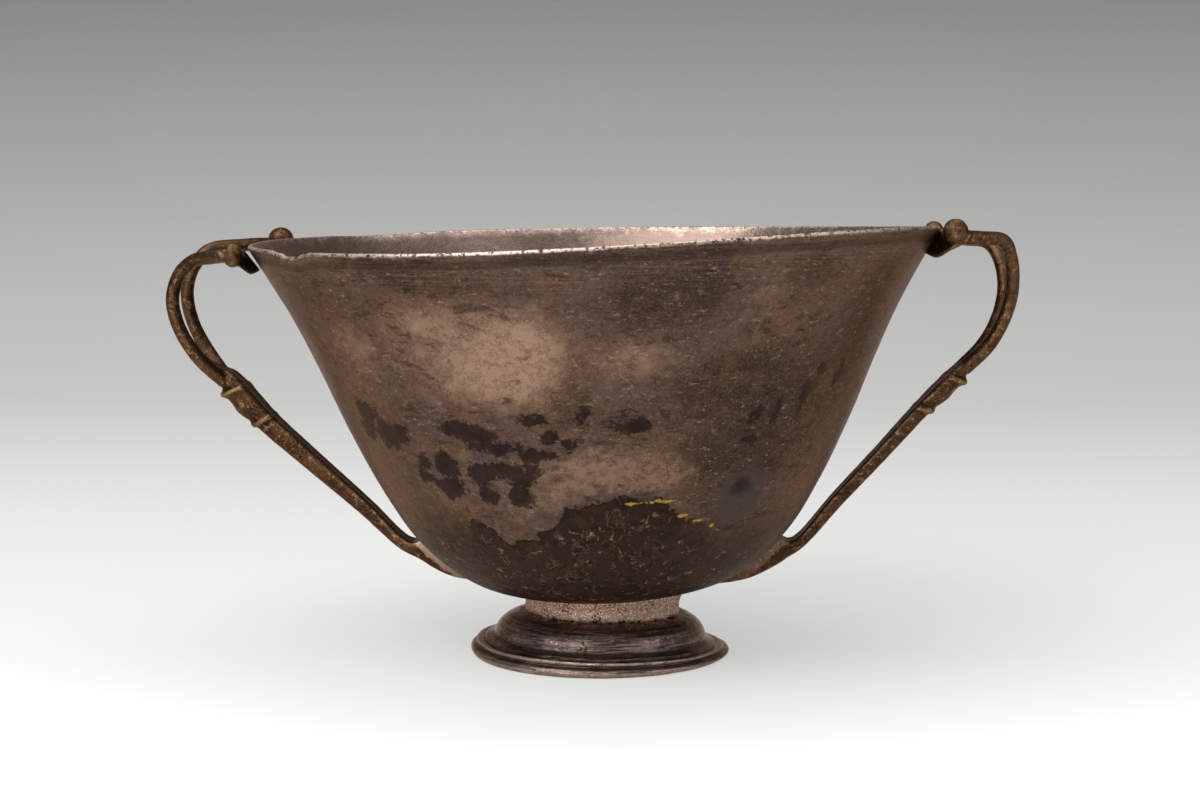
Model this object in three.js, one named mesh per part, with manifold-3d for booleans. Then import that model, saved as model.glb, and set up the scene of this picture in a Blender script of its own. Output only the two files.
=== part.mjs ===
// Skyphos: a raised silver drinking cup on a ring foot, with two cast wishbone handles.
// Millimetres, +Z up. The foot stands on z = 0 and the handles lie along X.
// The cup is bent as found: it leans on its foot, its rim sways, and the handles differ.
import * as THREE from 'three';
import { mergeVertices } from 'three/addons/utils/BufferGeometryUtils.js';
import Module from 'manifold-3d';

// Bowl
const RIM_RADIUS = 75;
const BOWL_DEPTH = 77.9;
const BOWL_UNDERSIDE = 14;
const BOWL_WALL = 1.1;
const BOWL_SIDES = 68;
const BOWL_ROWS = 12;
// Outer side of the bowl, from the middle of its underside to the rim:
// share of the rim's radius, share of the depth.
const BOWL_SIDE = [
  [0, 0],
  [0.14, 0.001],
  [0.273, 0.008],
  [0.412, 0.056],
  [0.545, 0.168],
  [0.64, 0.308],
  [0.733, 0.485],
  [0.814, 0.664],
  [0.893, 0.823],
  [1, 1],
];

// Bends in the bowl
const LEAN = 1.87;
const LEAN_TOWARDS = 183.7;
const SEAT_SHIFT = 1.21;
const RIM_SWAYS = [
  { lobes: 1, height: 0.49, at: -133 },
  { lobes: 2, height: 0.7, at: -36 },
  { lobes: 3, height: 0.25, at: -42.5 },
];
const NICK_AT = -141;
const NICK_HALF_WIDTH = 8;
const NICK_DROP = 1.1;
const NICK_DENT = 0.5;
const NICK_SHARE = 0.88;

// Foot
const NECK_RADIUS = 17.2;
const NECK_BOTTOM = 9.2;
const NECK_FLARE = 0.8;
const SHOULDER_RADIUS = 23.6;
const SHOULDER_DROP = 6.4;
const FLANGE_RADIUS = 25.5;
const FLANGE_EDGE = 2.8;
const FLANGE_RISE = 0.8;
const FLANGE_BULGE = 0.28;
const SHOULDER_FROM = 13;
const SHOULDER_TO = 84;
const FILLET_RADIUS = 27.4;
const FILLET_TOP = 2.3;
const FILLET_GROOVE = 0.2;
const FOOT_RADIUS = 28.8;
const TORUS_HEIGHT = 1.4;
const FOOT_SHEET = 1.7;
const STAND_INNER = 26;
const STAND_OUTER = 27.6;
const FOOT_SIDES = 34;

// Bends in the foot: above its torus it tips right and back, its neck has slipped sideways,
// and the ring is turned up on one side.
const NECK_SLIP = 0.55;
const FOOT_TIP_RIGHT = 1;
const FOOT_TIP_BACK = 1.9;
const RING_LIFT = 0.8;
const RING_LIFT_AT = 163;
const RING_LIFT_HALF_WIDTH = 62;

// Solder
const SOLDER_GAP = 0.3;

// Handles, shared sizes
const ROD_RADIUS = 1.5;
const ROD_ROOT_RADIUS = 1.65;
const ROD_END_RADIUS = 1.6;
const ROD_SIDES = 8;
const ROD_STEPS = 18;
const ROD_ROOT_SHARE = 0.3;
const ROD_END_SHARE = 0.25;
const CROWN_FROM = 3;
const CROWN_TOP = 5.4;
const KNOB_SIDES = 9;
const BILL_HALF_WIDTH = 1.7;
const BILL_HALF_HEIGHT = 2.95;
const BILL_FACE_DROP = 2.6;
const BILL_CHEEK_HALF_WIDTH = 1.9;
const BILL_CHEEK_DROP = 0.85;
const BILL_THROAT_HALF_HEIGHT = 2.1;
const BILL_THROAT_DROP = 0.7;
const BILL_NAPE = 2.8;
const BILL_NAPE_RADIUS = 1.2;
const BILL_TURN = 4.8;
const STEM_STEP = 4.6;
// Collar round the outer side of the stem: distance up the stem, height of the moulding
const COLLAR = [
  [0, 0],
  [0.4, 0.65],
  [1.3, 0.7],
  [2, 0.1],
  [3.6, 0.55],
  [5.4, 0.85],
  [7.6, 0.6],
  [9, 0.65],
  [10.3, 1.5],
  [10.9, 1.35],
  [11.5, 0],
];

// Handles, each with its own bend. The turn and the two sides are seen from above, clockwise side first.
// collarAt: distance of the collar's lip from the stem's top end.
// sides: how far the rod's crown and the knob stand above the run of the rod, the knob's radius
// and half height, and the tilt of the bill's face off the wall where its solder has let go.
// rods: share of the bowl's depth, distance out from the wall, angle off the handle's middle.
// stem: share of the bowl's depth and distance out from the wall of the outer edge, then depth and half width.
// tongue: share of the bowl's depth where it lies, thickness off the wall, depth and half width.
const HANDLES = [
  {
    name: 'handle_right',
    turn: 2.2,
    collarAt: 6.7,
    sides: [
      { crownRise: 1.2, knobRise: 1.4, knobRadius: 2.7, knobHalfHeight: 2.85, padTilt: 0 },
      { crownRise: 0, knobRise: 0.6, knobRadius: 2.2, knobHalfHeight: 2.2, padTilt: 0 },
    ],
    rods: [
      [0.602, 21.2, 1.2],
      [0.67, 24.3, 2.1],
      [0.753, 24.9, 2.8],
      [0.834, 23.1, 3.7],
      [0.904, 19.6, 5.3],
      [0.949, 15.8, 7.5],
      [0.961, 10.7, 10.2],
      [0.977, 4.9, 13.6],
    ],
    stem: [
      [0.644, 24.9, 1.6, 2.4],
      [0.592, 22.9, 3, 3.2],
      [0.479, 17.9, 3.4, 3.1],
      [0.347, 13, 3.2, 2.9],
      [0.22, 8.9, 3, 2.8],
    ],
    tongue: [
      [0.172, 6, 2.7, 3.2],
      [0.142, 5.5, 3.2, 3.6],
      [0.122, 5, 7, 3.7],
      [0.092, 4.3, 7, 3.7],
      [0.056, 3.2, 6, 3.1],
      [0.039, 2.4, 5, 2.2],
      [0.018, 1.2, 4, 0.8],
    ],
  },
  {
    name: 'handle_left',
    turn: 180,
    collarAt: 6.4,
    sides: [
      { crownRise: 1.9, knobRise: 1.6, knobRadius: 2.95, knobHalfHeight: 2.75, padTilt: 0 },
      { crownRise: 0, knobRise: -0.1, knobRadius: 2.1, knobHalfHeight: 2.6, padTilt: 11 },
    ],
    rods: [
      [0.625, 23.5, 1.1],
      [0.7, 25.9, 3.4],
      [0.786, 26.4, 4],
      [0.869, 24.1, 4],
      [0.936, 19.4, 3.8],
      [0.974, 14.3, 4.8],
      [0.986, 8.5, 9.3],
      [0.997, 3.9, 18.4],
    ],
    stem: [
      [0.668, 26.9, 1.6, 2.4],
      [0.612, 25.3, 4.4, 3.2],
      [0.496, 21.8, 4.7, 3.2],
      [0.386, 16.6, 4.2, 3],
      [0.23, 9.7, 3.4, 2.8],
    ],
    tongue: [
      [0.184, 5.9, 2.9, 3.1],
      [0.157, 5, 3.4, 3.5],
      [0.138, 4.3, 6, 3.6],
      [0.098, 3.5, 6, 3],
      [0.068, 2.5, 5, 2],
      [0.05, 1.5, 4, 0.8],
    ],
  },
];
// Half of the stem's section, from the outer edge round to the flat inner face:
// share of the half width, share of the depth.
const STEM_SECTION = [
  [0, 0],
  [0.5, 0.07],
  [0.86, 0.28],
  [1, 0.6],
  [0.9, 1],
  [0, 1],
];

const SILVER = { color: 0x6f635a, roughness: 0.42, metalness: 0.85 };
const FOOT_SILVER = { color: 0x5f565a, roughness: 0.35, metalness: 0.85 };
const HANDLE_SILVER = { color: 0x776853, roughness: 0.45, metalness: 0.85 };

const wasm = await Module();
wasm.setup();

const radians = THREE.MathUtils.degToRad;
const bowlSide = new THREE.SplineCurve(
  BOWL_SIDE.map(([out, up]) => new THREE.Vector2(out * RIM_RADIUS, BOWL_UNDERSIDE + up * BOWL_DEPTH)),
);

// Point on the bowl's outer side at a share of its depth, with the outward normal there.
function bowlWall(share) {
  const height = BOWL_UNDERSIDE + THREE.MathUtils.clamp(share, 0.002, 1) * BOWL_DEPTH;
  let low = 0.15;
  let high = 1;
  for (let step = 0; step < 30; step += 1) {
    const middle = (low + high) / 2;
    if (bowlSide.getPoint(middle).y < height) {
      low = middle;
    } else {
      high = middle;
    }
  }
  const point = bowlSide.getPoint(low);
  const along = bowlSide.getTangent(low);
  return { radius: point.x, height: point.y, normal: new THREE.Vector2(along.y, -along.x) };
}

// One closed surface: shared corners merged, empty faces dropped, faces pointing out.
function closedGeometry(source) {
  const bare = source.clone();
  bare.deleteAttribute('normal');
  bare.deleteAttribute('uv');
  const merged = mergeVertices(bare, 1e-4);
  const corners = merged.index.array;
  const places = merged.attributes.position;
  const faces = [];
  const [a, b, c] = [new THREE.Vector3(), new THREE.Vector3(), new THREE.Vector3()];
  let volume = 0;
  for (let face = 0; face < corners.length; face += 3) {
    const [i, j, k] = corners.slice(face, face + 3);
    if (i !== j && j !== k && k !== i) {
      faces.push(i, j, k);
      a.fromBufferAttribute(places, i);
      b.fromBufferAttribute(places, j);
      c.fromBufferAttribute(places, k);
      volume += a.dot(b.cross(c));
    }
  }
  if (volume < 0) {
    faces.reverse();
  }
  merged.setIndex(faces);
  return merged;
}

function solidFrom(geometry) {
  const closed = closedGeometry(geometry);
  return new wasm.Manifold(new wasm.Mesh({
    numProp: 3,
    vertProperties: new Float32Array(closed.attributes.position.array),
    triVerts: new Uint32Array(closed.index.array),
  }));
}

function geometryFrom(solid) {
  const mesh = solid.getMesh();
  const geometry = new THREE.BufferGeometry();
  geometry.setAttribute('position', new THREE.BufferAttribute(new Float32Array(mesh.vertProperties), 3));
  geometry.setIndex(Array.from(mesh.triVerts));
  return geometry;
}

// Skin over a row of outlines with equally many points, closed at both ends.
function loft(outlines) {
  const count = outlines[0].length;
  const points = outlines.flat();
  const faces = [];
  for (let row = 0; row < outlines.length - 1; row += 1) {
    for (let side = 0; side < count; side += 1) {
      const next = (side + 1) % count;
      const [p, q] = [row * count + side, row * count + next];
      faces.push(p, q, p + count, q, q + count, p + count);
    }
  }
  const last = (outlines.length - 1) * count;
  for (let side = 1; side < count - 1; side += 1) {
    faces.push(0, side + 1, side);
    faces.push(last, last + side, last + side + 1);
  }
  const geometry = new THREE.BufferGeometry().setFromPoints(points);
  geometry.setIndex(faces);
  return geometry;
}

// Turned body from a list of radius and height, standing on Z.
function turned(profile, sides) {
  const geometry = new THREE.LatheGeometry(profile, sides);
  geometry.rotateX(Math.PI / 2);
  return geometry;
}

function moveEachPoint(geometry, move) {
  const places = geometry.attributes.position;
  const point = new THREE.Vector3();
  for (let index = 0; index < places.count; index += 1) {
    point.fromBufferAttribute(places, index);
    move(point);
    places.setXYZ(index, point.x, point.y, point.z);
  }
  return geometry;
}

// One at the middle of a stretch of angle, smoothly down to zero at its ends.
function hump(angle, middle, halfWidth) {
  const away = Math.abs(THREE.MathUtils.euclideanModulo(angle - middle + 180, 360) - 180);
  return away < halfWidth ? 0.5 + 0.5 * Math.cos(Math.PI * away / halfWidth) : 0;
}

// The bowl's own bends: the swaying rim and the nick in it.
function bendBowl(point) {
  const angle = THREE.MathUtils.radToDeg(Math.atan2(point.y, point.x));
  const share = (point.z - BOWL_UNDERSIDE) / BOWL_DEPTH;
  let rise = 0;
  for (const { lobes, height, at } of RIM_SWAYS) {
    rise += height * Math.cos(lobes * radians(angle - at));
  }
  point.z += rise * share * share;
  const nick = hump(angle, NICK_AT, NICK_HALF_WIDTH) * THREE.MathUtils.smoothstep(share, NICK_SHARE, 1);
  point.z -= NICK_DROP * nick;
  const radius = Math.hypot(point.x, point.y) || 1;
  point.x -= NICK_DENT * nick * point.x / radius;
  point.y -= NICK_DENT * nick * point.y / radius;
}

// The outer side of the bowl, each point moved out from the wall by a distance.
function bowlProfile(distance) {
  const profile = [];
  for (let row = 0; row <= BOWL_ROWS; row += 1) {
    const along = row / BOWL_ROWS;
    const point = bowlSide.getPoint(along);
    const tangent = bowlSide.getTangent(along);
    const out = row === 0 ? 0 : point.x + tangent.y * distance;
    profile.push(new THREE.Vector2(out, point.y - (row === 0 ? 1 : tangent.x) * distance));
  }
  return profile;
}

function bowlGeometry() {
  const outside = bowlProfile(0);
  const inside = bowlProfile(-BOWL_WALL).reverse();
  const outerLip = outside[outside.length - 1];
  const innerLip = inside[0];
  const lip = new THREE.Vector2().lerpVectors(outerLip, innerLip, 0.5);
  lip.y += BOWL_WALL * 0.25;
  const bowl = turned([...outside, lip, ...inside], BOWL_SIDES);
  return closedGeometry(moveEachPoint(bowl, bendBowl));
}

// The bowl's outer form as one full solid, larger all round by the solder gap.
function bowlRoom() {
  const outside = bowlProfile(SOLDER_GAP);
  const top = outside[outside.length - 1];
  const above = [new THREE.Vector2(top.x, top.y + BOWL_DEPTH * 0.2), new THREE.Vector2(0, top.y + BOWL_DEPTH * 0.2)];
  const room = turned([...outside, ...above], BOWL_SIDES);
  return moveEachPoint(room, bendBowl);
}

// The bowl and both handles lean together on the foot.
function leanCup(cup) {
  const towards = radians(LEAN_TOWARDS);
  const axis = new THREE.Vector3(-Math.sin(towards), Math.cos(towards), 0);
  const seat = new THREE.Vector3(0, 0, BOWL_UNDERSIDE);
  cup.quaternion.setFromAxisAngle(axis, radians(LEAN));
  cup.position.copy(seat).sub(seat.clone().applyQuaternion(cup.quaternion));
  cup.position.x -= SEAT_SHIFT * Math.cos(towards);
  cup.position.y -= SEAT_SHIFT * Math.sin(towards);
  cup.updateMatrix();
}

function arc(centre, radiusX, radiusY, from, to, steps) {
  const points = [];
  for (let step = 0; step <= steps; step += 1) {
    const angle = radians(from + (to - from) * step / steps);
    points.push(new THREE.Vector2(centre.x + radiusX * Math.cos(angle), centre.y + radiusY * Math.sin(angle)));
  }
  return points;
}

// Ring foot: stand, torus, fillet, groove, hollow flange, round shoulder and neck,
// with the sheet's inner side under it.
function footProfile() {
  const torus = arc(
    new THREE.Vector2(STAND_OUTER, TORUS_HEIGHT / 2),
    FOOT_RADIUS - STAND_OUTER,
    TORUS_HEIGHT / 2,
    -90,
    80,
    5,
  );
  const fillet = [
    new THREE.Vector2(FILLET_RADIUS - FILLET_GROOVE, TORUS_HEIGHT + FILLET_GROOVE),
    new THREE.Vector2(FILLET_RADIUS, (TORUS_HEIGHT + FILLET_TOP) / 2 + FILLET_GROOVE / 2),
    new THREE.Vector2(FILLET_RADIUS - FILLET_GROOVE, FILLET_TOP),
    new THREE.Vector2(FLANGE_RADIUS + 3 * FILLET_GROOVE, FILLET_TOP),
    new THREE.Vector2(FLANGE_RADIUS + FILLET_GROOVE, FILLET_TOP - FILLET_GROOVE),
  ];
  const flange = [
    new THREE.Vector2(FLANGE_RADIUS, FLANGE_EDGE),
    new THREE.Vector2((FLANGE_RADIUS + SHOULDER_RADIUS) / 2, FLANGE_EDGE + FLANGE_BULGE),
    new THREE.Vector2(SHOULDER_RADIUS, FLANGE_EDGE + FLANGE_RISE),
  ];
  const shoulderMiddle = new THREE.Vector2(NECK_RADIUS - NECK_FLARE, NECK_BOTTOM - SHOULDER_DROP);
  const shoulder = arc(
    shoulderMiddle,
    SHOULDER_RADIUS - shoulderMiddle.x,
    SHOULDER_DROP,
    SHOULDER_FROM,
    SHOULDER_TO,
    5,
  );
  const top = BOWL_UNDERSIDE + BOWL_WALL * 2;
  const neck = [
    new THREE.Vector2(NECK_RADIUS, NECK_BOTTOM + NECK_FLARE),
    new THREE.Vector2(NECK_RADIUS, (NECK_BOTTOM + BOWL_UNDERSIDE) / 2),
    new THREE.Vector2(NECK_RADIUS + NECK_FLARE, BOWL_UNDERSIDE),
    new THREE.Vector2(NECK_RADIUS + NECK_FLARE, top),
    new THREE.Vector2(NECK_RADIUS - FOOT_SHEET, top),
  ];
  const underside = [
    new THREE.Vector2(NECK_RADIUS - FOOT_SHEET, NECK_BOTTOM - FOOT_SHEET / 2),
    new THREE.Vector2(SHOULDER_RADIUS - FOOT_SHEET * 1.5, NECK_BOTTOM - SHOULDER_DROP + FOOT_SHEET),
    new THREE.Vector2(STAND_INNER - FOOT_SHEET / 2, FILLET_TOP - FOOT_SHEET / 2),
    new THREE.Vector2(STAND_INNER, 0),
  ];
  const profile = [...torus, ...fillet, ...flange, ...shoulder, ...neck, ...underside];
  profile.push(profile[0].clone());
  return profile;
}

function bendFoot(point) {
  const angle = THREE.MathUtils.radToDeg(Math.atan2(point.y, point.x));
  const radius = Math.hypot(point.x, point.y);
  const tipped = THREE.MathUtils.smoothstep(point.z, 0, FILLET_TOP);
  const slipped = THREE.MathUtils.smoothstep(point.z, FILLET_TOP, NECK_BOTTOM);
  const ring = THREE.MathUtils.smoothstep(radius, NECK_RADIUS, FLANGE_RADIUS);
  point.z -= point.x * Math.tan(radians(FOOT_TIP_RIGHT)) * tipped;
  point.z -= point.y * Math.tan(radians(FOOT_TIP_BACK)) * tipped;
  point.z += RING_LIFT * hump(angle, RING_LIFT_AT, RING_LIFT_HALF_WIDTH) * ring;
  point.x += NECK_SLIP * slipped;
}

function footGeometry(cup) {
  const foot = moveEachPoint(turned(footProfile(), FOOT_SIDES), bendFoot);
  const room = bowlRoom().applyMatrix4(cup.matrix);
  return closedGeometry(geometryFrom(solidFrom(foot).subtract(solidFrom(room))));
}

// A place in a handle's own frame: out from the bowl's axis, sideways, and up.
function besideWall(share, distance, angle = 0) {
  const out = bowlWall(share).radius + distance;
  const height = BOWL_UNDERSIDE + share * BOWL_DEPTH;
  return new THREE.Vector3(out * Math.cos(radians(angle)), out * Math.sin(radians(angle)), height);
}

function onWall(share, distance) {
  const { radius, height, normal } = bowlWall(share);
  return new THREE.Vector3(radius + normal.x * distance, 0, height + normal.y * distance);
}

function collarHeight(distance) {
  for (let index = 1; index < COLLAR.length; index += 1) {
    const [from, low] = COLLAR[index - 1];
    const [to, high] = COLLAR[index];
    if (distance >= from && distance <= to) {
      return THREE.MathUtils.mapLinear(distance, from, to, low, high);
    }
  }
  return 0;
}

// Leaf tongue on the wall, straight strut, collar and the root of the fork, in one sweep.
function stemGeometry({ stem, tongue, collarAt }) {
  const edge = [];
  const sizes = [];
  for (const [share, distance, depth, halfWidth] of stem) {
    edge.push(besideWall(share, distance));
    sizes.push(new THREE.Vector3(depth, halfWidth, 0));
  }
  for (const [share, distance, depth, halfWidth] of tongue) {
    edge.push(onWall(share, distance));
    sizes.push(new THREE.Vector3(depth, halfWidth, 0));
  }
  const edgeLine = new THREE.CatmullRomCurve3(edge, false, 'centripetal');
  const sizeLine = new THREE.CatmullRomCurve3(sizes, false, 'centripetal');
  const length = edgeLine.getLength();
  const collarFoot = collarAt + COLLAR[COLLAR.length - 1][0];
  const stops = COLLAR.map(([up]) => collarFoot - up);
  for (let stop = 0; stop <= length; stop += STEM_STEP) {
    stops.push(stop);
  }
  stops.push(length);
  stops.sort((first, second) => first - second);
  const outlines = [];
  let previous = -1;
  for (const stop of stops) {
    if (stop - previous < 0.3) {
      continue;
    }
    previous = stop;
    const at = edgeLine.getUtoTmapping(0, stop);
    const corner = edgeLine.getPoint(at);
    const along = edgeLine.getTangent(at);
    const inward = new THREE.Vector3(along.z, 0, -along.x);
    const size = sizeLine.getPoint(at);
    const moulding = collarHeight(collarFoot - stop);
    const half = STEM_SECTION.map(([side, deep]) => new THREE.Vector2(
      side * (size.y + moulding),
      deep * (size.x + moulding) - moulding,
    ));
    const otherHalf = half.slice(1, -1).reverse().map(({ x, y }) => new THREE.Vector2(-x, y));
    outlines.push([...half, ...otherHalf].map(({ x, y }) => corner.clone()
      .addScaledVector(inward, y)
      .add(new THREE.Vector3(0, x, 0))));
  }
  return loft(outlines);
}

function oval(centre, across, up, halfWidth, halfHeight, sides) {
  const points = [];
  for (let side = 0; side < sides; side += 1) {
    const angle = 2 * Math.PI * side / sides;
    points.push(centre.clone()
      .addScaledVector(across, halfWidth * Math.cos(angle))
      .addScaledVector(up, halfHeight * Math.sin(angle)));
  }
  return points;
}

// One rod of the fork, from the collar out round the loop and back to its knob.
function rodGeometry(rods, side, { crownRise }) {
  const points = rods.map(([share, distance, angle], index) => {
    const point = besideWall(share, distance, side * angle);
    point.z += crownRise * hump(index, CROWN_TOP, CROWN_TOP - CROWN_FROM);
    return point;
  });
  const line = new THREE.CatmullRomCurve3(points, false, 'centripetal');
  const outlines = [];
  for (let step = 0; step <= ROD_STEPS; step += 1) {
    const along = step / ROD_STEPS;
    const centre = line.getPointAt(along);
    const tangent = line.getTangentAt(along);
    const across = new THREE.Vector3(0, 1, 0).cross(tangent).normalize();
    const up = tangent.clone().cross(across);
    const root = 1 - THREE.MathUtils.smoothstep(along, 0, ROD_ROOT_SHARE);
    const end = THREE.MathUtils.smoothstep(along, 1 - ROD_END_SHARE, 1);
    const radius = ROD_RADIUS + (ROD_ROOT_RADIUS - ROD_RADIUS) * root + (ROD_END_RADIUS - ROD_RADIUS) * end;
    outlines.push(oval(centre, across, up, radius, radius, ROD_SIDES));
  }
  return loft(outlines);
}

// Knob on a rod's end, and the bill that widens from it to a flat face against the wall.
// A face that has come loose stands off the wall at its top.
function headParts([share, distance, angle], side, { knobRise, knobRadius, knobHalfHeight, padTilt }) {
  const rodEnd = besideWall(share, distance, side * angle);
  const knob = new THREE.SphereGeometry(knobRadius, KNOB_SIDES, KNOB_SIDES - 2);
  knob.scale(1, 1, knobHalfHeight / knobRadius);
  knob.translate(rodEnd.x, rodEnd.y, rodEnd.z + knobRise);
  const turn = side * (angle - BILL_TURN);
  const { normal } = bowlWall(1);
  const out = new THREE.Vector3(Math.cos(radians(turn)), Math.sin(radians(turn)), 0);
  const across = new THREE.Vector3(-out.y, out.x, 0);
  const offWall = out.clone().multiplyScalar(normal.x).add(new THREE.Vector3(0, 0, normal.y));
  const upWall = out.clone().multiplyScalar(-normal.y).add(new THREE.Vector3(0, 0, normal.x));
  const upFace = upWall.clone().applyAxisAngle(across, radians(padTilt));
  const nape = besideWall(share, distance + BILL_NAPE, side * angle);
  const throat = rodEnd.clone();
  throat.z -= BILL_THROAT_DROP;
  const face = besideWall(1 - BILL_FACE_DROP / BOWL_DEPTH, 0, turn);
  face.addScaledVector(offWall, BILL_HALF_HEIGHT * Math.sin(radians(padTilt)));
  const cheek = throat.clone().lerp(face, 0.5);
  cheek.z -= BILL_CHEEK_DROP;
  const outlines = [
    oval(nape, across, upWall, BILL_NAPE_RADIUS, BILL_NAPE_RADIUS, KNOB_SIDES),
    oval(throat, across, upWall, BILL_HALF_WIDTH, BILL_THROAT_HALF_HEIGHT, KNOB_SIDES),
    oval(cheek, across, upWall, BILL_CHEEK_HALF_WIDTH, BILL_HALF_HEIGHT, KNOB_SIDES),
    oval(face, across, upFace, BILL_HALF_WIDTH, BILL_HALF_HEIGHT, KNOB_SIDES),
  ];
  if (padTilt === 0) {
    const behindFace = face.clone().addScaledVector(out, -2 * BOWL_WALL);
    outlines.push(oval(behindFace, across, upWall, BILL_HALF_WIDTH, BILL_HALF_HEIGHT, KNOB_SIDES));
  }
  return [knob, loft(outlines)];
}

function handleGeometry(shape) {
  let solid = solidFrom(stemGeometry(shape));
  const rodEnd = shape.rods[shape.rods.length - 1];
  shape.sides.forEach((bend, index) => {
    const side = index === 0 ? -1 : 1;
    solid = solid.add(solidFrom(rodGeometry(shape.rods, side, bend)));
    for (const part of headParts(rodEnd, side, bend)) {
      solid = solid.add(solidFrom(part));
    }
  });
  const placed = geometryFrom(solid).rotateZ(radians(shape.turn));
  return closedGeometry(geometryFrom(solidFrom(placed).subtract(solidFrom(bowlRoom()))));
}

function namedMesh(name, geometry, finish) {
  const mesh = new THREE.Mesh(geometry, new THREE.MeshStandardMaterial(finish));
  mesh.name = name;
  return mesh;
}

const cup = new THREE.Group();
leanCup(cup);
cup.add(namedMesh('bowl', bowlGeometry(), SILVER));
for (const shape of HANDLES) {
  cup.add(namedMesh(shape.name, handleGeometry(shape), HANDLE_SILVER));
}

// The origin is under the middle of the whole cup, handles included, on the surface it stands on.
const skyphos = new THREE.Group();
skyphos.add(cup);
skyphos.add(namedMesh('foot', footGeometry(cup), FOOT_SILVER));
const middle = new THREE.Box3().setFromObject(skyphos, true).getCenter(new THREE.Vector3());
skyphos.position.set(-middle.x, -middle.y, 0);

export default skyphos;
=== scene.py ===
# Skyphos: a raised silver drinking cup on a ring foot, with two cast wishbone handles.
# Sizes are in millimetres and degrees, in the cup's own upright frame.
# They become metres when a mesh is made.
import math

import bpy
import numpy as np
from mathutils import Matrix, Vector, noise


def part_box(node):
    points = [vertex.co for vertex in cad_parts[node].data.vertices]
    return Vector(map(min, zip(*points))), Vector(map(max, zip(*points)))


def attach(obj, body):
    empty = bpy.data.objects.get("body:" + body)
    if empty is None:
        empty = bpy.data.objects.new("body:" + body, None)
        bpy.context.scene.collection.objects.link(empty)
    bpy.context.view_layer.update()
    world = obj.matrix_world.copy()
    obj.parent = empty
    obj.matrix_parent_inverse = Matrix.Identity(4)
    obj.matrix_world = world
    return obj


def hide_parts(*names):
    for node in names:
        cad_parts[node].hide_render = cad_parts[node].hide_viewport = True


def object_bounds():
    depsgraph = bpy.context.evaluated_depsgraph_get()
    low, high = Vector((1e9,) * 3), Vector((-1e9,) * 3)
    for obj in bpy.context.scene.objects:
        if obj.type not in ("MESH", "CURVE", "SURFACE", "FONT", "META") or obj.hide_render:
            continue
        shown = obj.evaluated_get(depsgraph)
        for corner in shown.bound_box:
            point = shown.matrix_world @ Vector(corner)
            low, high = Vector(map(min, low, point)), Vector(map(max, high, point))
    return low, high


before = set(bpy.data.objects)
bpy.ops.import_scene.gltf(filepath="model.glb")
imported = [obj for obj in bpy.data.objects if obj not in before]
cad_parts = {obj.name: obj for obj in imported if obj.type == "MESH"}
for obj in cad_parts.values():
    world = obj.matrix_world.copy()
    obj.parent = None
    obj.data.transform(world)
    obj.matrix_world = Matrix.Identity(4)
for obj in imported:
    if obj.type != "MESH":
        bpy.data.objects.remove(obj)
solids_low, solids_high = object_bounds()

MM = 0.001
# How far inside the solids' outer box the worked skin stops
BOX_INSET = 0.005

# Bowl
RIM_RADIUS = 75
BOWL_DEPTH = 77.9
BOWL_UNDERSIDE = 14
BOWL_WALL = 1.1
BOWL_SIDES = 384
OUTSIDE_ROWS = 150
INSIDE_ROWS = 64
LIP_ROWS = 7
POLE_RADIUS = 0.2
BOWL_SIDE_POINTS = 1200
WALL_POINTS = 600
# Share of the rim's radius, share of the depth, from the middle of the underside to the rim
BOWL_SIDE = [
    (0, 0), (0.14, 0.001), (0.273, 0.008), (0.412, 0.056), (0.545, 0.168), (0.64, 0.308), (0.733, 0.485),
    (0.814, 0.664), (0.893, 0.823), (1, 1),
]

# Bends in the bowl: the lean, the swaying rim and the crumpled nick in it
LEAN = 1.87
LEAN_TOWARDS = 183.7
SEAT_SHIFT = 1.21
RIM_SWAYS = [(1, 0.49, -133), (2, 0.7, -36), (3, 0.25, -42.5)]
NICK_AT = -141
NICK_HALF_WIDTH = 8
NICK_DROP = 1.1
NICK_DENT = 0.5
NICK_SHARE = 0.88
NICK_REACH = 1.4
NICK_EDGE = 0.95
NICK_FOLD = 0.55
NICK_FOLD_SIZE = 2.2
NICK_CREASE = 0.33
NICK_CREASE_SIZE = 0.9
NICK_BUCKLE = 0.5
NICK_BUCKLE_SIZE = 3.1
RIM_STEP = 0.4
RIM_STEP_FROM = 128
RIM_STEP_TO = 131
RIM_STEP_AT = 138
RIM_STEP_HALF_WIDTH = 16
RIM_STEP_EDGE = 0.96

# Foot
NECK_RADIUS = 17.2
NECK_BOTTOM = 9.2
NECK_FLARE = 0.8
SHOULDER_RADIUS = 23.6
SHOULDER_DROP = 6.4
FLANGE_RADIUS = 25.5
FLANGE_EDGE = 2.8
FLANGE_RISE = 0.8
FLANGE_BULGE = 0.28
SHOULDER_FROM = 13
SHOULDER_TO = 84
FILLET_RADIUS = 27.4
FILLET_TOP = 2.3
FILLET_GROOVE = 0.2
FOOT_RADIUS = 28.8
TORUS_HEIGHT = 1.4
FOOT_SHEET = 1.7
STAND_INNER = 26
STAND_OUTER = 27.6
FOOT_SIDES = 320
TORUS_STEPS = 14
FILLET_STEPS = 6
SHOULDER_STEPS = 22
FLANGE_POINTS = 7
NECK_POINTS = 16
SHEET_POINTS = 28
NECK_SLIP = 0.55
FOOT_TIP_RIGHT = 1
FOOT_TIP_BACK = 1.9
RING_LIFT = 0.8
RING_LIFT_AT = 163
RING_LIFT_HALF_WIDTH = 62

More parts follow.
